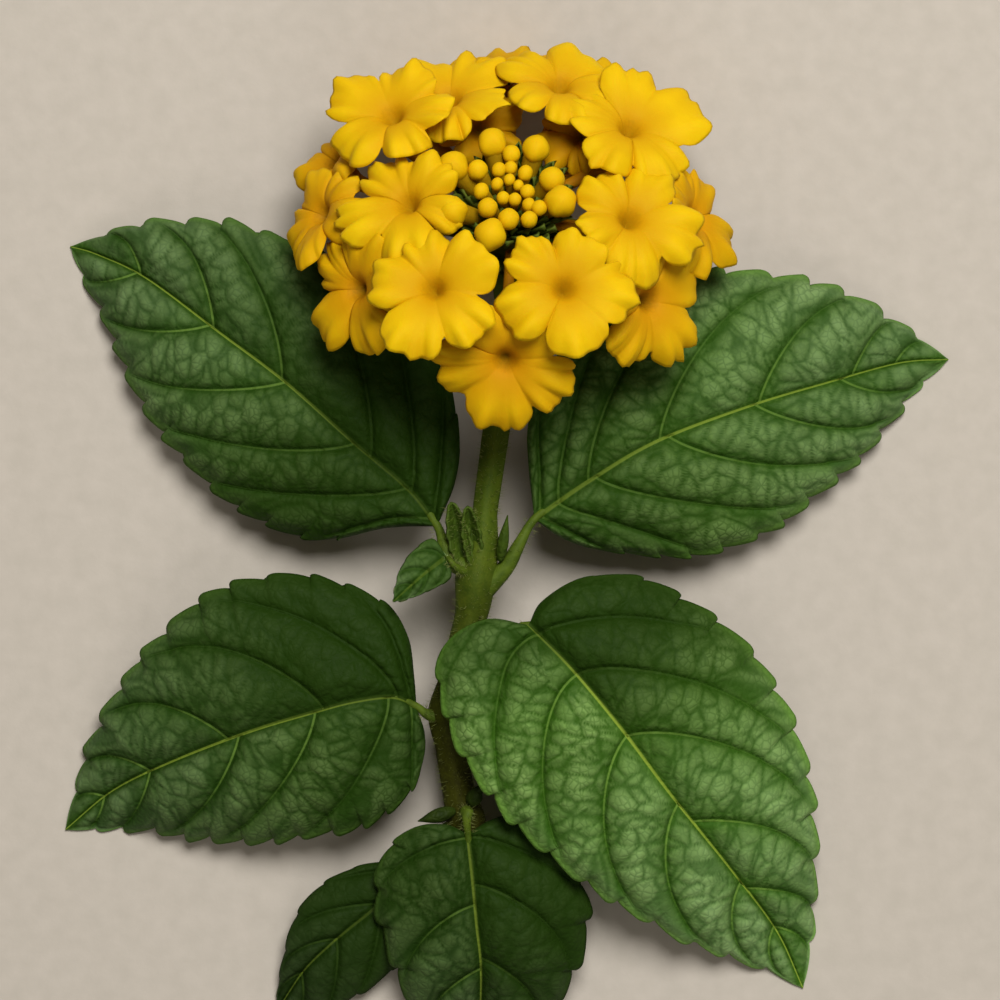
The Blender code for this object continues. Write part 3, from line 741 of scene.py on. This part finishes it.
def cell_walls(first, second):
    """Distance to the walls of random cells, as 0 on a wall and 1 in a cell's middle."""
    values = np.empty(len(first))
    for i, (a, b) in enumerate(zip(first.tolist(), second.tolist())):
        distances = noise.voronoi((a, b, 0.0))[0]
        values[i] = distances[1] - distances[0]
    return values


def wobble(places, scale, seed):
    """Slow smooth noise, from -1 to 1, at places in millimetres."""
    return np.array([noise.noise((x * scale + seed, y * scale, seed * 1.7)) for x, y in places.tolist()])


class Blade:
    """One leaf's outline, midrib and side veins, and the way from shares to places."""

    def __init__(self, leaf):
        self.leaf = leaf
        self.midrib = Path(leaf["midrib"])
        base, tip = leaf["midrib"][0][:2], leaf["midrib"][-1][:2]
        self.edges = [Path((base, *leaf[side], tip)) for side in ("left", "right")]
        self.forward = unit(self.midrib.points[-1, :2] - self.midrib.points[0, :2])
        self.veins = [self.side_veins(side) for side in (0, 1)]

    def flat(self, side, reach, along):
        """The place on a side at a reach from midrib to edge, and the half width there."""
        rib = self.midrib.at(along**VEIN_SWEEP)
        out = self.edges[side].at(along) - rib[:, :2]
        width = np.linalg.norm(out, axis=1)
        bow = width * VEIN_BOW * np.sin(np.pi * reach) * hump(along)
        return rib[:, :2] + out * reach[:, None] + self.forward * bow[:, None], width, out, rib[:, 2]

    def side_veins(self, side):
        """Each vein's start and end shares, with one before the first and one after the last."""
        starts = [start ** (1 / VEIN_SWEEP) for start, _ in self.leaf["veins"][side]]
        ends = [end for _, end in self.leaf["veins"][side]]
        return np.array((0.0, *starts, 1.0)), np.array((0.0, *ends, 1.0))

    def vein_course(self, side, reach):
        """How far along the leaf each vein is at each reach, one column for each vein."""
        starts, ends = self.veins[side]
        return starts + (ends - starts) * (reach**VEIN_ARCH)[:, None]

    def nearest_on_veins(self, side, points):
        """How far each point is from each vein's line, and how far along the line its nearest place is."""
        reach = np.linspace(0, 1, VEIN_STEPS)
        course = self.vein_course(side, reach)
        away = np.full((len(points), course.shape[1]), np.inf)
        along = np.zeros_like(away)
        for k in range(course.shape[1]):
            line = self.flat(side, reach, course[:, k])[0]
            start = 0.0
            for a, b in zip(line[:-1], line[1:]):
                span = b - a
                length = np.linalg.norm(span)
                share = np.clip((points - a) @ span / max(length**2, 1e-9), 0, 1)
                distance = np.linalg.norm(points - a - share[:, None] * span, axis=1)
                closer = distance < away[:, k]
                away[closer, k] = distance[closer]
                along[closer, k] = (start + share * length)[closer]
                start += length
        return away, along


def blade_side(blade, side, reach, along, seed):
    """Places and colour masks on one side of a leaf's blade."""
    leaf = blade.leaf
    relief = leaf.get("relief", 1.0)
    flat, width, out, height = blade.flat(side, reach, along)
    outward = out / np.maximum(width, 1e-6)[:, None]
    row = np.arange(len(reach))
    to_rib = width * reach

    # The nearest veins on the two sides of each point, and where the point lies between them.
    course = blade.vein_course(side, reach)
    last = course.shape[1] - 1
    below = np.clip((course <= along[:, None]).sum(axis=1) - 1, 0, last - 1)
    away, lengths = blade.nearest_on_veins(side, flat)
    # Before the first vein the band reaches from that vein to the leaf's edge.
    to_below = np.where(below == 0, width * (1 - reach), away[row, below])
    to_above = away[row, below + 1]
    panel = np.maximum(to_below + to_above, 1e-6)
    between = to_below / panel
    along_band = lengths[row, np.maximum(below, 1)]
    across_band = (between - 0.5) * panel
    open_blade = smooth(0.0, 0.06, along) * (1 - smooth(0.94, 1.0, along))
    fading = (1 - smooth(0.84, 0.97, reach)) * open_blade
    no_vein = ((below == 0) & (between < 0.5)) | ((below + 1 == last) & (between > 0.5))
    vein_side = np.where(no_vein, -1.0, np.cos(2 * np.pi * between) * fading)
    to_vein = np.where(no_vein, 9.0, np.minimum(to_below, to_above))

    # A tooth rises slowly towards the leaf's tip, ends round and drops into a notch.
    count = along * leaf["teeth"][side] + 0.07 * np.sin(along * 31 + seed + side)
    phase = count % 1
    rise = np.clip(phase / TOOTH_TIP, 0, 1) ** 0.6
    end = np.sqrt(1 - (np.clip(phase - TOOTH_TIP, 0, None) / (1 - TOOTH_TIP)) ** 2)
    tooth = rise * end
    size = np.minimum(TOOTH_SIZE, width * TOOTH_SHARE_OF_WIDTH) * smooth(0.10, 0.22, along)
    size = size * (1 - smooth(0.985, 1.0, along))
    size = size * (1 + 0.22 * np.sin(np.floor(count) * 2.4 + seed + side * 2)) * relief
    to_edge = reach**9
    flat = flat + outward * (size * (tooth - 0.6) * to_edge)[:, None]
    flat = flat + blade.forward * (size * TOOTH_LEAN * tooth * to_edge)[:, None]

    # Bands between side veins bulge, small veins cross them and a net of cells fills them.
    inside = open_blade * (1 - smooth(0.92, 0.99, reach)) * smooth(0.1, 0.9, to_rib)
    warp = wobble(flat, 0.5, seed + 3)
    band = below * 7.3 + side * 51 + seed * 11
    rungs = cell_walls(along_band / RUNG_SPACING + band + 0.25 * warp, across_band / RUNG_REACH + 0.25 * warp)
    rung = near(rungs, 0.10) * inside * relief
    dome = np.clip(rungs / 0.55, 0, 1) ** 0.6
    bulge = np.sin(np.pi * between) ** 0.75 * np.minimum(panel * QUILT_SHARE, QUILT_HEIGHT)
    bulge = bulge * open_blade * smooth(0.0, 0.8, to_rib / 3) * (1 - smooth(0.86, 1.0, reach))

    groove = near(to_vein, 0.42 - 0.2 * reach) * fading
    rib_width = MIDRIB_WIDTH * (1.1 - 0.8 * along)
    valley = near(to_rib, rib_width * 2.1)
    ridge = near(to_rib, rib_width)

    fall = leaf["droop"][side] * reach**2 * hump(along)
    height = height - fall + bulge * relief
    height = height + VALLEY_RISE * (1 - np.exp(-to_rib / 1.6)) * (1 - reach) * open_blade
    height = height - MIDRIB_DEPTH * valley * (1 - 0.5 * along) + 0.22 * ridge * (1 - 0.6 * along)
    height = height - VEIN_DEPTH * groove * (1 - 0.4 * reach)
    height = height + RUNG_HEIGHT * (dome - 0.7) * inside * relief
    height = height + WAVE_HEIGHT * wobble(flat, WAVE_SCALE, seed) * smooth(0.1, 0.6, reach) * open_blade
    height = height + 0.35 * size * (tooth - 0.5) * reach**5
    height = height - EDGE_ROLL * smooth(0.93, 1.0, reach) * open_blade

    # Painted light and shade: crown is lighter on the middle of each bulging band and darker beside the
    # midrib by the side's shade, and a little lighter near the edge. The pale threads fade sooner on the side
    # with more shade.
    lit = np.sin(np.pi * between) ** 0.8 * (0.35 + 0.65 * dome) * inside
    crown = lit * (1 - leaf["shade"][side] * np.exp(-to_rib / 3.5)) + 0.3 * smooth(0.8, 0.98, reach)
    shaded, shade_end = leaf["base_shade"][side]
    masks = {
        "crown": np.clip(crown, 0, 1),
        "rung": rung,
        # Painted shade at the base of each side.
        "painted_shade": shaded * (1 - smooth(0.4 * shade_end, shade_end, along)),
        "rim": smooth(0.93, 1.0, reach),
        "reach": reach,
        "along": along,
        "pale": leaf["pale_veins"] * (1 - smooth(0.15, 0.85 - 0.4 * leaf["shade"][side], reach)) + 0.08,
        "from_midrib": to_rib * (1 if side else -1),
        "from_vein": np.sin(2 * np.pi * between) * panel / (2 * np.pi),
        "vein_side": vein_side,
    }
    return np.column_stack((flat, height)), masks


def blade_shape(leaf, seed):
    """The shape of both halves of a leaf's blade, for grid_object."""
    blade = Blade(leaf)

    def shape(u, v):
        across = 2 * u - 1
        reach = np.abs(across) ** COLUMN_CROWDING
        places = np.empty((len(u), 3))
        masks = {}
        for side in (0, 1):
            mine = (across < 0) == (side == 0)
            # Rows crowd together towards each tooth's tip and the notch after it.
            count = v[mine] * leaf["teeth"][side]
            crowded = np.floor(count) + 1 - (1 - count % 1) ** ROW_CROWDING
            along = v[mine] + (crowded / leaf["teeth"][side] - v[mine]) * reach[mine] ** 2
            places[mine], values = blade_side(blade, side, reach[mine], np.clip(along, 0, 1), seed)
            for key, value in values.items():
                masks.setdefault(key, np.empty(len(u)))[mine] = value
        return places, masks

    return shape


def tube_object(name, path, radius, grid, materials, ridges=0.0, age=None):
    """A tube round a path, closed at both ends, with a radius given by share of its length."""
    rows = grid[1]

    def shape(u, v):
        # The first and last rows close the ends.
        share = np.clip((v * rows - 1) / (rows - 2), 0, 1)
        closing = ((v * rows > 0.5) & (v * rows < rows - 0.5)).astype(float)
        middle = path.at(share)
        ahead = unit_rows(path.step(share))
        first = unit_rows(np.cross(ahead, UPWARDS))
        second = np.cross(ahead, first)
        turn = 2 * np.pi * u
        size = radius(share) * (1 + ridges * np.cos(4 * turn)) * closing
        places = middle + first * (size * np.cos(turn))[:, None] + second * (size * np.sin(turn))[:, None]
        return places, {} if age is None else {"age": age(share)}

    obj = grid_object(name, grid, shape, materials)
    turn_outwards(obj.data)
    return obj


def leaf_stalk(name, leaf, materials):
    """The petiole, which starts inside the stem and goes on under the blade as its midrib."""
    rib = Path(leaf["midrib"])
    start = leaf["petiole_radius"]
    shares = np.linspace(0, RIB_END, 12)
    radii = start * (0.5 - 0.35 * shares)
    sunk = np.maximum(smooth(0.0, 0.06, shares), leaf.get("petiole_sunk", 0.0))
    drop = radii + LEAF_THICKNESS + MIDRIB_DEPTH * sunk * (1 - 0.5 * shares) - 0.2
    under = [rib.at(share) - np.array((0, 0, low)) for share, low in zip(shares, drop)]
    path = Path([*leaf["petiole"], *under])
    blade_start = 1 - rib.length * shares[-1] / path.length

    def radius(share):
        on_blade = np.clip((share - blade_start) / (1 - blade_start), 0, 1) * shares[-1]
        before = start * (1 + 0.3 * near(share, 0.05)) * (1 - 0.5 * smooth(0.3, 1.0, share / blade_start))
        return np.where(share < blade_start, before, start * (0.5 - 0.35 * on_blade))

    return tube_object(name, path, radius, PETIOLE_GRID, materials)


def make_leaf(name, leaf, seed, finishes):
    # The leaf's tone is lower on the leaves that lie in shade and higher on the lit one: partly the leaf's
    # own colour and partly painted shade and light.
    top = leaf_top(name + "_top", leaf["tone"], min(0.9, 0.25 + leaf["pale_veins"]))
    blade = grid_object(name + "_blade", leaf["grid"], blade_shape(leaf, seed), [top, finishes["leaf_under"]])
    give_thickness(blade, LEAF_THICKNESS, -1, under=1)
    stalk = leaf_stalk(name + "_stalk", leaf, [finishes["stalk"]])
    for piece in (blade, stalk):
        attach(piece, "root")
        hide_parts(name)


# Flower head


def head_place(turn, distance, height):
    """The place at a turn and a distance from the head's axis, and the way out from the axis there."""
    outward = HEAD_RIGHT * math.cos(turn) + HEAD_UP * math.sin(turn)
    return HEAD_CENTRE + HEAD_AXIS * height + outward * distance, outward


def core_root(towards):
    """Where a stalk that leaves the core in this direction starts, inside it."""
    return HEAD_CENTRE + towards * CORE_RADIUS * 0.8


def limb_shape(origin, turned, radius, draw):
    """A ruffled limb of five lobes round a sunk throat; the first lobe points away from the head's axis."""
    def each_lobe(low, high):
        return np.array([draw.uniform(low, high) for _ in range(LOBES)])

    sizes = np.array(LOBE_SIZES) * each_lobe(*LOBE_SPREAD)
    sinuses = each_lobe(*SINUS_DEPTH)
    lifts = each_lobe(*LOBE_LIFT)
    twists = each_lobe(*LOBE_TWIST)
    ruffles = each_lobe(*RUFFLES)
    waviness = each_lobe(*RUFFLE_HEIGHT)
    shifts = each_lobe(0, 2 * math.pi)
    curls = each_lobe(*LOBE_CURL)
    points = np.array([draw.choice(LOBE_POINTS) for _ in range(LOBES)])
    corners = each_lobe(*LOBE_CORNERS)
    wander = draw.uniform(0, 2 * math.pi)

    def shape(u, v):
        # The lobes are not all as wide as each other.
        turn = 2 * np.pi * u
        phase = (u + 0.022 * np.sin(turn * 2 + wander) * np.sin(turn / 2) ** 2) * LOBES
        nearest = np.round(phase)
        lobe = nearest.astype(int) % LOBES
        off = (phase - nearest) * 2
        spread = np.abs(off)
        sinus = sinuses[np.floor(phase).astype(int) % LOBES]
        wave = np.cos(np.pi * ruffles[lobe] * off + shifts[lobe])
        second = np.cos(np.pi * ruffles[lobe] * 2.3 * off + shifts[lobe] * 2.3)
        gather = 1 - spread**6

        edge = radius * sizes[lobe] * (1 + corners[lobe] * spread**2 - sinus * spread**SINUS_SHARPNESS)
        edge = edge * (1 + RUFFLE_REACH * (wave + 0.5 * second) * gather)
        edge = edge * (1 + points[lobe] * near(off - 0.3 * np.sin(shifts[lobe]), 0.09))
        out = edge * v

        open_limb = smooth(0.4, 1.0, v)
        height = FLORET_DEPTH * (1 - (1 - np.clip(out / radius, 0, 1)) ** 2) - curls[lobe] * gather * v**6
        beside = (lobe + np.sign(off).astype(int)) % LOBES
        shared = 0.5 * smooth(0.3, 1.0, spread)
        height = height + (lifts[lobe] * (1 - shared) + lifts[beside] * shared) * v**2
        height = height + twists[lobe] * off * gather * v**3
        height = height + waviness[lobe] * (wave + 0.4 * second * v**3) * gather * open_limb
        height = height - LOBE_DOME * spread**2 * v**2 - THROAT_DEPTH * near(out, 1.0)
        places = origin + np.column_stack((out * np.cos(turn), out * np.sin(turn), height)) @ turned.T
        # fold is painted shade in the ruffles' valleys and between the lobes.
        fold = np.clip(-wave, 0, 1) * gather * open_limb * (1 - 0.5 * v) * waviness[lobe] / RUFFLE_HEIGHT[1]
        return places, {"out": out, "fold": np.clip(0.8 * fold + 0.5 * spread**8 * open_limb, 0, 1)}

    return shape


def floret(name, turn, distance, height, lean, size, petal, draw, finishes):
    """A limb of petals on its tube, facing out from the head by the lean."""
    throat, outward = head_place(turn, distance, height)
    facing = HEAD_AXIS * math.cos(lean) + outward * math.sin(lean)
    down = outward * math.cos(lean) - HEAD_AXIS * math.sin(lean)
    sideways = np.cross(facing, down)
    spin = math.radians(draw.uniform(-9, 9))
    first = down * math.cos(spin) + sideways * math.sin(spin)
    second = np.cross(facing, first)
    turned = np.column_stack((first, second, facing))
    shape = limb_shape(throat, turned, FLORET_RADIUS * size, draw)
    limb = grid_object(name + "_limb", LIMB_GRID, shape, [finishes[petal]])
    give_thickness(limb, PETAL_THICKNESS, -1)
    towards = unit(throat - HEAD_CENTRE)
    root = core_root(towards)
    path = Path((root, root + towards * 2.5, throat - facing * 4.0, throat - facing * 1.5))

    def radius(share):
        return TUBE_RADIUS + 0.22 * smooth(0.15, 0.7, share) + 0.15 * smooth(0.72, 1.0, share)

    tube = tube_object(name + "_tube", path, radius, FLORET_TUBE_GRID, [finishes["tube"]])
    piece = joined(name, [limb, tube])
    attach(piece, "root")
    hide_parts("flower_head")


def bud_object(name, turn, distance, radius, draw, finishes):
    """A closed bud with its seams, and its stalk."""
    height = BUD_DISC_HEIGHT + BUD_DISC_CROWN * (distance / BUD_DISC_RADIUS - 1)
    centre, outward = head_place(turn, distance, height)
    facing = unit(HEAD_AXIS + outward * distance / BUD_DISC_RADIUS * 0.45)
    first = unit(np.cross(facing, (0.3, 0.9, 0.1)))
    second = np.cross(facing, first)
    spin = draw.uniform(0, 2 * math.pi)
    corners = draw.choice((4, 5))
    pillow = 0.065 if radius > 1.3 else 0.03
    squeeze = draw.uniform(0.86, 1.0)

    def shape(u, v):
        around = 2 * np.pi * u + spin
        polar = np.pi * v
        level = np.sin(polar)
        corner = 1 + pillow * np.cos(corners * around) * level**2
        groove = near(np.sin(corners * around / 2), 0.25) * (1 - smooth(0.0, 0.8, v)) * 0.035 * level
        size = radius * (corner - groove)
        places = centre + np.outer(np.cos(around) * level * size * squeeze, first)
        places = places + np.outer(np.sin(around) * level * size, second)
        places = places + np.outer(np.cos(polar) * radius, facing)
        # fold is painted shade in the seams.
        return places, {"out": 4.6 - 3.0 * smooth(0.45, 0.9, v), "fold": np.clip(groove * 14, 0, 1)}

    ball = grid_object(name, BUD_GRID, shape, [finishes["bud"]])
    turn_outwards(ball.data)
    root = core_root(unit(centre - HEAD_CENTRE))
    path = Path((root, (root + centre) / 2, centre))

    def stalk_radius(share):
        return radius * (0.42 + 0.36 * share)

    stalk = tube_object(name + "_stalk", path, stalk_radius, BUD_STALK_GRID, [finishes["bud_stalk"]])
    return [ball, stalk]


def scale_object(name, foot, tip, hollow, finishes):
    """A small pointed bract from foot to tip, with its upper side hollow towards the given direction."""
    along = tip - foot
    side = unit(np.cross(along, hollow))
    up = unit(np.cross(side, along))

    def shape(u, v):
        across = 2 * u - 1
        half = SCALE_WIDTH / 2 * np.clip(np.sin(np.pi * (0.12 + 0.88 * v)), 0, 1) ** 0.8
        rise = 0.25 * SCALE_WIDTH * across**2 - 0.16 * SCALE_WIDTH * near(across, 0.25)
        return foot + np.outer(v, along) + np.outer(across * half, side) + np.outer(rise, up), {}

    piece = grid_object(name, SCALE_GRID, shape, [finishes["bract"]])
    give_thickness(piece, SCALE_THICKNESS, 0)
    return piece


def make_florets(finishes):
    draw = random.Random(RANDOM_SEED)
    # The lower ring and the young florets take the darker petal finish: for the lower ring partly the older
    # florets' own deeper colour, and for both painted shade on florets that face down or stand at the back.
    rings = (("upper", UPPER_FLORETS, UPPER_LEAN, "petal"),
             ("lower", LOWER_FLORETS, LOWER_LEAN, "deeper_and_shaded_petal"),
             ("young", YOUNG_FLORETS, YOUNG_LEAN, "deeper_and_shaded_petal"))
    for ring, florets, lean, petal in rings:
        for i, (turn, *place, size) in enumerate(florets):
            floret(f"floret_{ring}_{i}", math.radians(turn), *place, lean, size, petal, draw, finishes)


def make_flower_head(finishes):
    make_florets(finishes)
    draw = random.Random(RANDOM_SEED + 2)
    buds = []
    for i, (turn, distance, radius) in enumerate(BUDS):
        buds += bud_object(f"bud_{i}", math.radians(turn), distance, radius, draw, finishes)
    buds = joined("closed_buds", buds)
    scales = []
    for i in range(SCALES):
        turn = i * GOLDEN_TURN
        distance = SCALE_REACH[0] + SCALE_REACH[1] * math.sqrt(i / SCALES)
        foot, outward = head_place(turn, distance * 0.6, SCALE_HEIGHTS[0])
        tip, _ = head_place(turn, distance, SCALE_HEIGHTS[1] - 0.1 * distance)
        scales.append(scale_object(f"scale_{i}", foot, tip, -outward, finishes))
    for i in range(UNDER_SCALES):
        turn = 2 * math.pi * i / UNDER_SCALES + 0.15
        foot, _ = head_place(turn, *UNDER_SCALE_FOOT)
        tip, _ = head_place(turn, UNDER_SCALE_TIP[0], UNDER_SCALE_TIP[1] + 0.8 * (i % 2))
        scales.append(scale_object(f"under_scale_{i}", foot, tip, HEAD_AXIS, finishes))

    def core_shape(u, v):
        around = 2 * np.pi * u
        polar = np.pi * v
        size = CORE_RADIUS * (1 + 0.04 * np.sin(around * 9) * np.sin(polar * 7))
        local = np.outer(np.cos(around) * np.sin(polar), HEAD_RIGHT)
        local = local + np.outer(np.sin(around) * np.sin(polar), HEAD_UP)
        local = local + np.outer(np.cos(polar) * 1.1, HEAD_AXIS)
        return HEAD_CENTRE + local * size[:, None], {}

    core = grid_object("core", CORE_GRID, core_shape, [finishes["bract"]])
    turn_outwards(core.data)
    bracts = joined("bracts_and_receptacle", [core, *scales])
    for piece in (buds, bracts):
        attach(piece, "root")
        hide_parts("flower_head")


# Stem


def stem_radius():
    """The stem's middle line, and its radius by share of the line's length."""
    line = Path([row[:3] for row in STEM])
    marks = line.shares[:: PATH_STEPS][: len(STEM)]
    radii = [row[3] for row in STEM]
    return line, lambda share: np.interp(share, marks, radii)


def hairs_along(name, path, radius, hairs, low, high, draw, finishes):
    """Fine hairs that stand out from a tube between two shares of its length, as slim three-sided cones."""
    count, length = hairs
    bm = bmesh.new()
    for _ in range(count):
        share = draw.uniform(low, high)
        middle = Vector(path.at(share))
        ahead = Vector(path.step(share)).normalized()
        side = ahead.cross(Vector(UPWARDS)).normalized()
        turn = draw.uniform(0, 2 * math.pi)
        out = Matrix.Rotation(turn, 3, ahead) @ side
        lean = (out + ahead * draw.uniform(-0.3, 0.5)).normalized()
        size = length * draw.uniform(0.5, 1.1)
        foot = middle + out * float(radius(share)) * 0.93
        place = Vector(tuple(foot - Vector(MIDDLE) + lean * size / 2)) * MM
        turned = lean.to_track_quat("Z", "Y").to_matrix().to_4x4()
        bmesh.ops.create_cone(bm, cap_ends=True, segments=3, radius1=HAIR_RADII[0] * MM,
                              radius2=HAIR_RADII[1] * MM, depth=size * MM,
                              matrix=Matrix.Translation(place) @ turned)
    return finished(name, as_mesh(name, bm), [finishes["hair"]])


def leaflet(name, foot, tip, width, finishes):
    """A young leaf folded along its middle, with small teeth, from foot to tip."""
    along = np.array(tip) - foot
    side = unit(np.cross(along, UPWARDS))
    up = unit(np.cross(side, along))

    def shape(u, v):
        across = 2 * u - 1
        reach = np.abs(across)
        half = width * (0.45 + 0.55 * np.sin(np.pi * v**0.9)) * (1 - v**7) ** 0.5
        half = half * (1 + 0.08 * np.sin(v * 31 + foot[0]) * reach**4)
        rise = 0.8 * half * reach**1.3 - 0.12 * np.linalg.norm(along) * np.sin(np.pi * v)
        places = foot + np.outer(v, along) + np.outer(across * half * 0.7, side) + np.outer(rise, up)
        return places, {"rim": reach}

    piece = grid_object(name, LEAFLET_GRID, shape, [finishes["leaflet"]])
    give_thickness(piece, LEAFLET_THICKNESS, -1)
    return piece


def small_bud(name, foot, tip, width, finish):
    """A closed leaf bud, thickest near its middle."""
    path = Path((foot, (np.array(foot) + np.array(tip)) / 2 + (0, 0, 0.3), tip))

    def radius(share):
        return width / 2 * (0.45 + 0.75 * np.sin(np.pi * share**0.8)) * (1 - share**4) + 0.06

    return tube_object(name, path, radius, LEAF_BUD_GRID, [finish], ridges=0.07)


def make_stem(finishes):
    draw = random.Random(RANDOM_SEED + 1)
    line, radius = stem_radius()

    def skin_radius(share):
        return radius(share) * 0.99

    def age(share):
        return 1 - smooth(0.28, 0.66, share)

    pieces = [
        tube_object("stem_skin", line, skin_radius, STEM_GRID, [finishes["stem"]], ridges=0.05, age=age),
        hairs_along("stem_hairs", line, skin_radius, STEM_HAIRS, 0.05, 0.95, draw, finishes),
    ]
    for i, (foot, tip, width) in enumerate(LEAFLETS):
        pieces.append(leaflet(f"young_leaf_{i}", foot, tip, width, finishes))
        pieces.append(hairs_along(f"young_leaf_hairs_{i}", Path((foot, tip)), lambda share: width * 0.45,
                                  LEAFLET_HAIRS, 0.1, 0.95, draw, finishes))
    for i, (foot, tip, width, finish) in enumerate(LEAF_BUDS):
        pieces.append(small_bud(f"leaf_bud_{i}", foot, tip, width, finishes[finish]))
    for name, leaf in LEAVES.items():
        petiole = Path([*leaf["petiole"], leaf["midrib"][0]])
        thickness = leaf["petiole_radius"] * 0.8
        pieces.append(hairs_along(name + "_petiole_hairs", petiole, lambda share: thickness,
                                  PETIOLE_HAIRS, 0.1, 0.98, draw, finishes))

    def cut_shape(u, v):
        turn = 2 * np.pi * u
        ahead = unit(line.points[1] - line.points[0])
        side = np.cross(ahead, UPWARDS)
        up = np.cross(side, ahead)
        size = CUT_RADIUS * v
        places = line.points[0] - np.outer(0.1 * (1 - v**4) + 0.03, ahead)
        return places + np.outer(size * np.cos(turn), side) + np.outer(size * np.sin(turn), up), {}

    cut = grid_object("stem_cut_end", CUT_GRID, cut_shape, [finishes["cut"]])
    give_thickness(cut, 0.15, -1)
    pieces.append(cut)
    for piece in pieces:
        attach(piece, "root")
        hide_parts("stem")


# Studio


def make_floor(finishes):
    bm = bmesh.new()
    bmesh.ops.create_grid(bm, x_segments=2, y_segments=2, size=FLOOR_SIZE)
    floor = finished("floor", as_mesh("floor", bm), [finishes["floor"]])


def area_light(name, place, size, power, colour):
    light = bpy.data.lights.new(name, "AREA")
    light.shape = "DISK"
    light.size = size
    light.energy = power
    light.color = colour
    obj = bpy.data.objects.new(name, light)
    obj.location = place
    obj.rotation_euler = (-Vector(place)).to_track_quat("-Z", "Y").to_euler()
    bpy.context.scene.collection.objects.link(obj)


def make_lights():
    area_light("key", place=(0.10, 0.31, 0.61), size=0.36, power=5.0, colour=(1.0, 0.97, 0.92))
    area_light("fill", place=(0.10, -0.45, 0.48), size=0.4, power=0.55, colour=(1.0, 0.97, 0.90))
    world = bpy.data.worlds.new("studio")
    world.use_nodes = True
    background = world.node_tree.nodes["Background"]
    background.inputs["Color"].default_value = (1.0, 0.87, 0.70, 1)
    background.inputs["Strength"].default_value = 0.15
    bpy.context.scene.world = world


def make_camera():
    camera = bpy.data.cameras.new("camera")
    camera.sensor_width = SENSOR
    camera.lens = SENSOR * CAMERA_DISTANCE / PICTURE_WIDTH
    camera.clip_start = 0.01
    obj = bpy.data.objects.new("camera", camera)
    obj.location = (-MIDDLE[0] * MM, -MIDDLE[1] * MM, (CAMERA_DISTANCE + PICTURE_HEIGHT_OF_PLANE) * MM)
    bpy.context.scene.collection.objects.link(obj)
    bpy.context.scene.camera = obj


def make_finishes():
    return {
        "leaf_under": leaf_under(),
        "stalk": patchy_material("petiole_and_rib", 0.6, 0.12, 0.8, (0.042, 0.076, 0.005),
                                 (0.092, 0.142, 0.011), (5.0, 0.06, 0.7)),
        "stem": stem_material(),
        **{key: petal_material(*colours) for key, colours in YELLOWS.items()},
        "leaflet": leaflet_material("young_leaflets", 0.75),
        "dark_leaflet": leaflet_material("shaded_leaf_buds", 0.38),
        "bract": patchy_material("bracts_and_calyx", 0.65, 0.15, 0.9, (0.055, 0.095, 0.008),
                                 (0.130, 0.160, 0.018), (6.0, 0.06, 0.7)),
        "hair": patchy_material("hairs", 0.6, 0.2, 0.5, (0.20, 0.24, 0.06), (0.32, 0.36, 0.11)),
        "cut": patchy_material("cut_end", 0.7, 0.5, 3.0, (0.36, 0.38, 0.17), (0.20, 0.24, 0.07),
                               (8.0, 0.08, 0.8)),
        "floor": patchy_material("pale_floor", 0.85, 0.2, 0.5, (0.49, 0.455, 0.405), (0.53, 0.49, 0.44),
                                 (1.6, 0.05, 0.35), detail=4.0),
    }


def main():
    finishes = make_finishes()
    for seed, (name, leaf) in enumerate(LEAVES.items()):
        make_leaf(name, leaf, seed + 1, finishes)
    make_flower_head(finishes)
    make_stem(finishes)
    make_floor(finishes)
    make_lights()
    make_camera()
    bpy.context.scene.view_settings.view_transform = "Standard"


main()
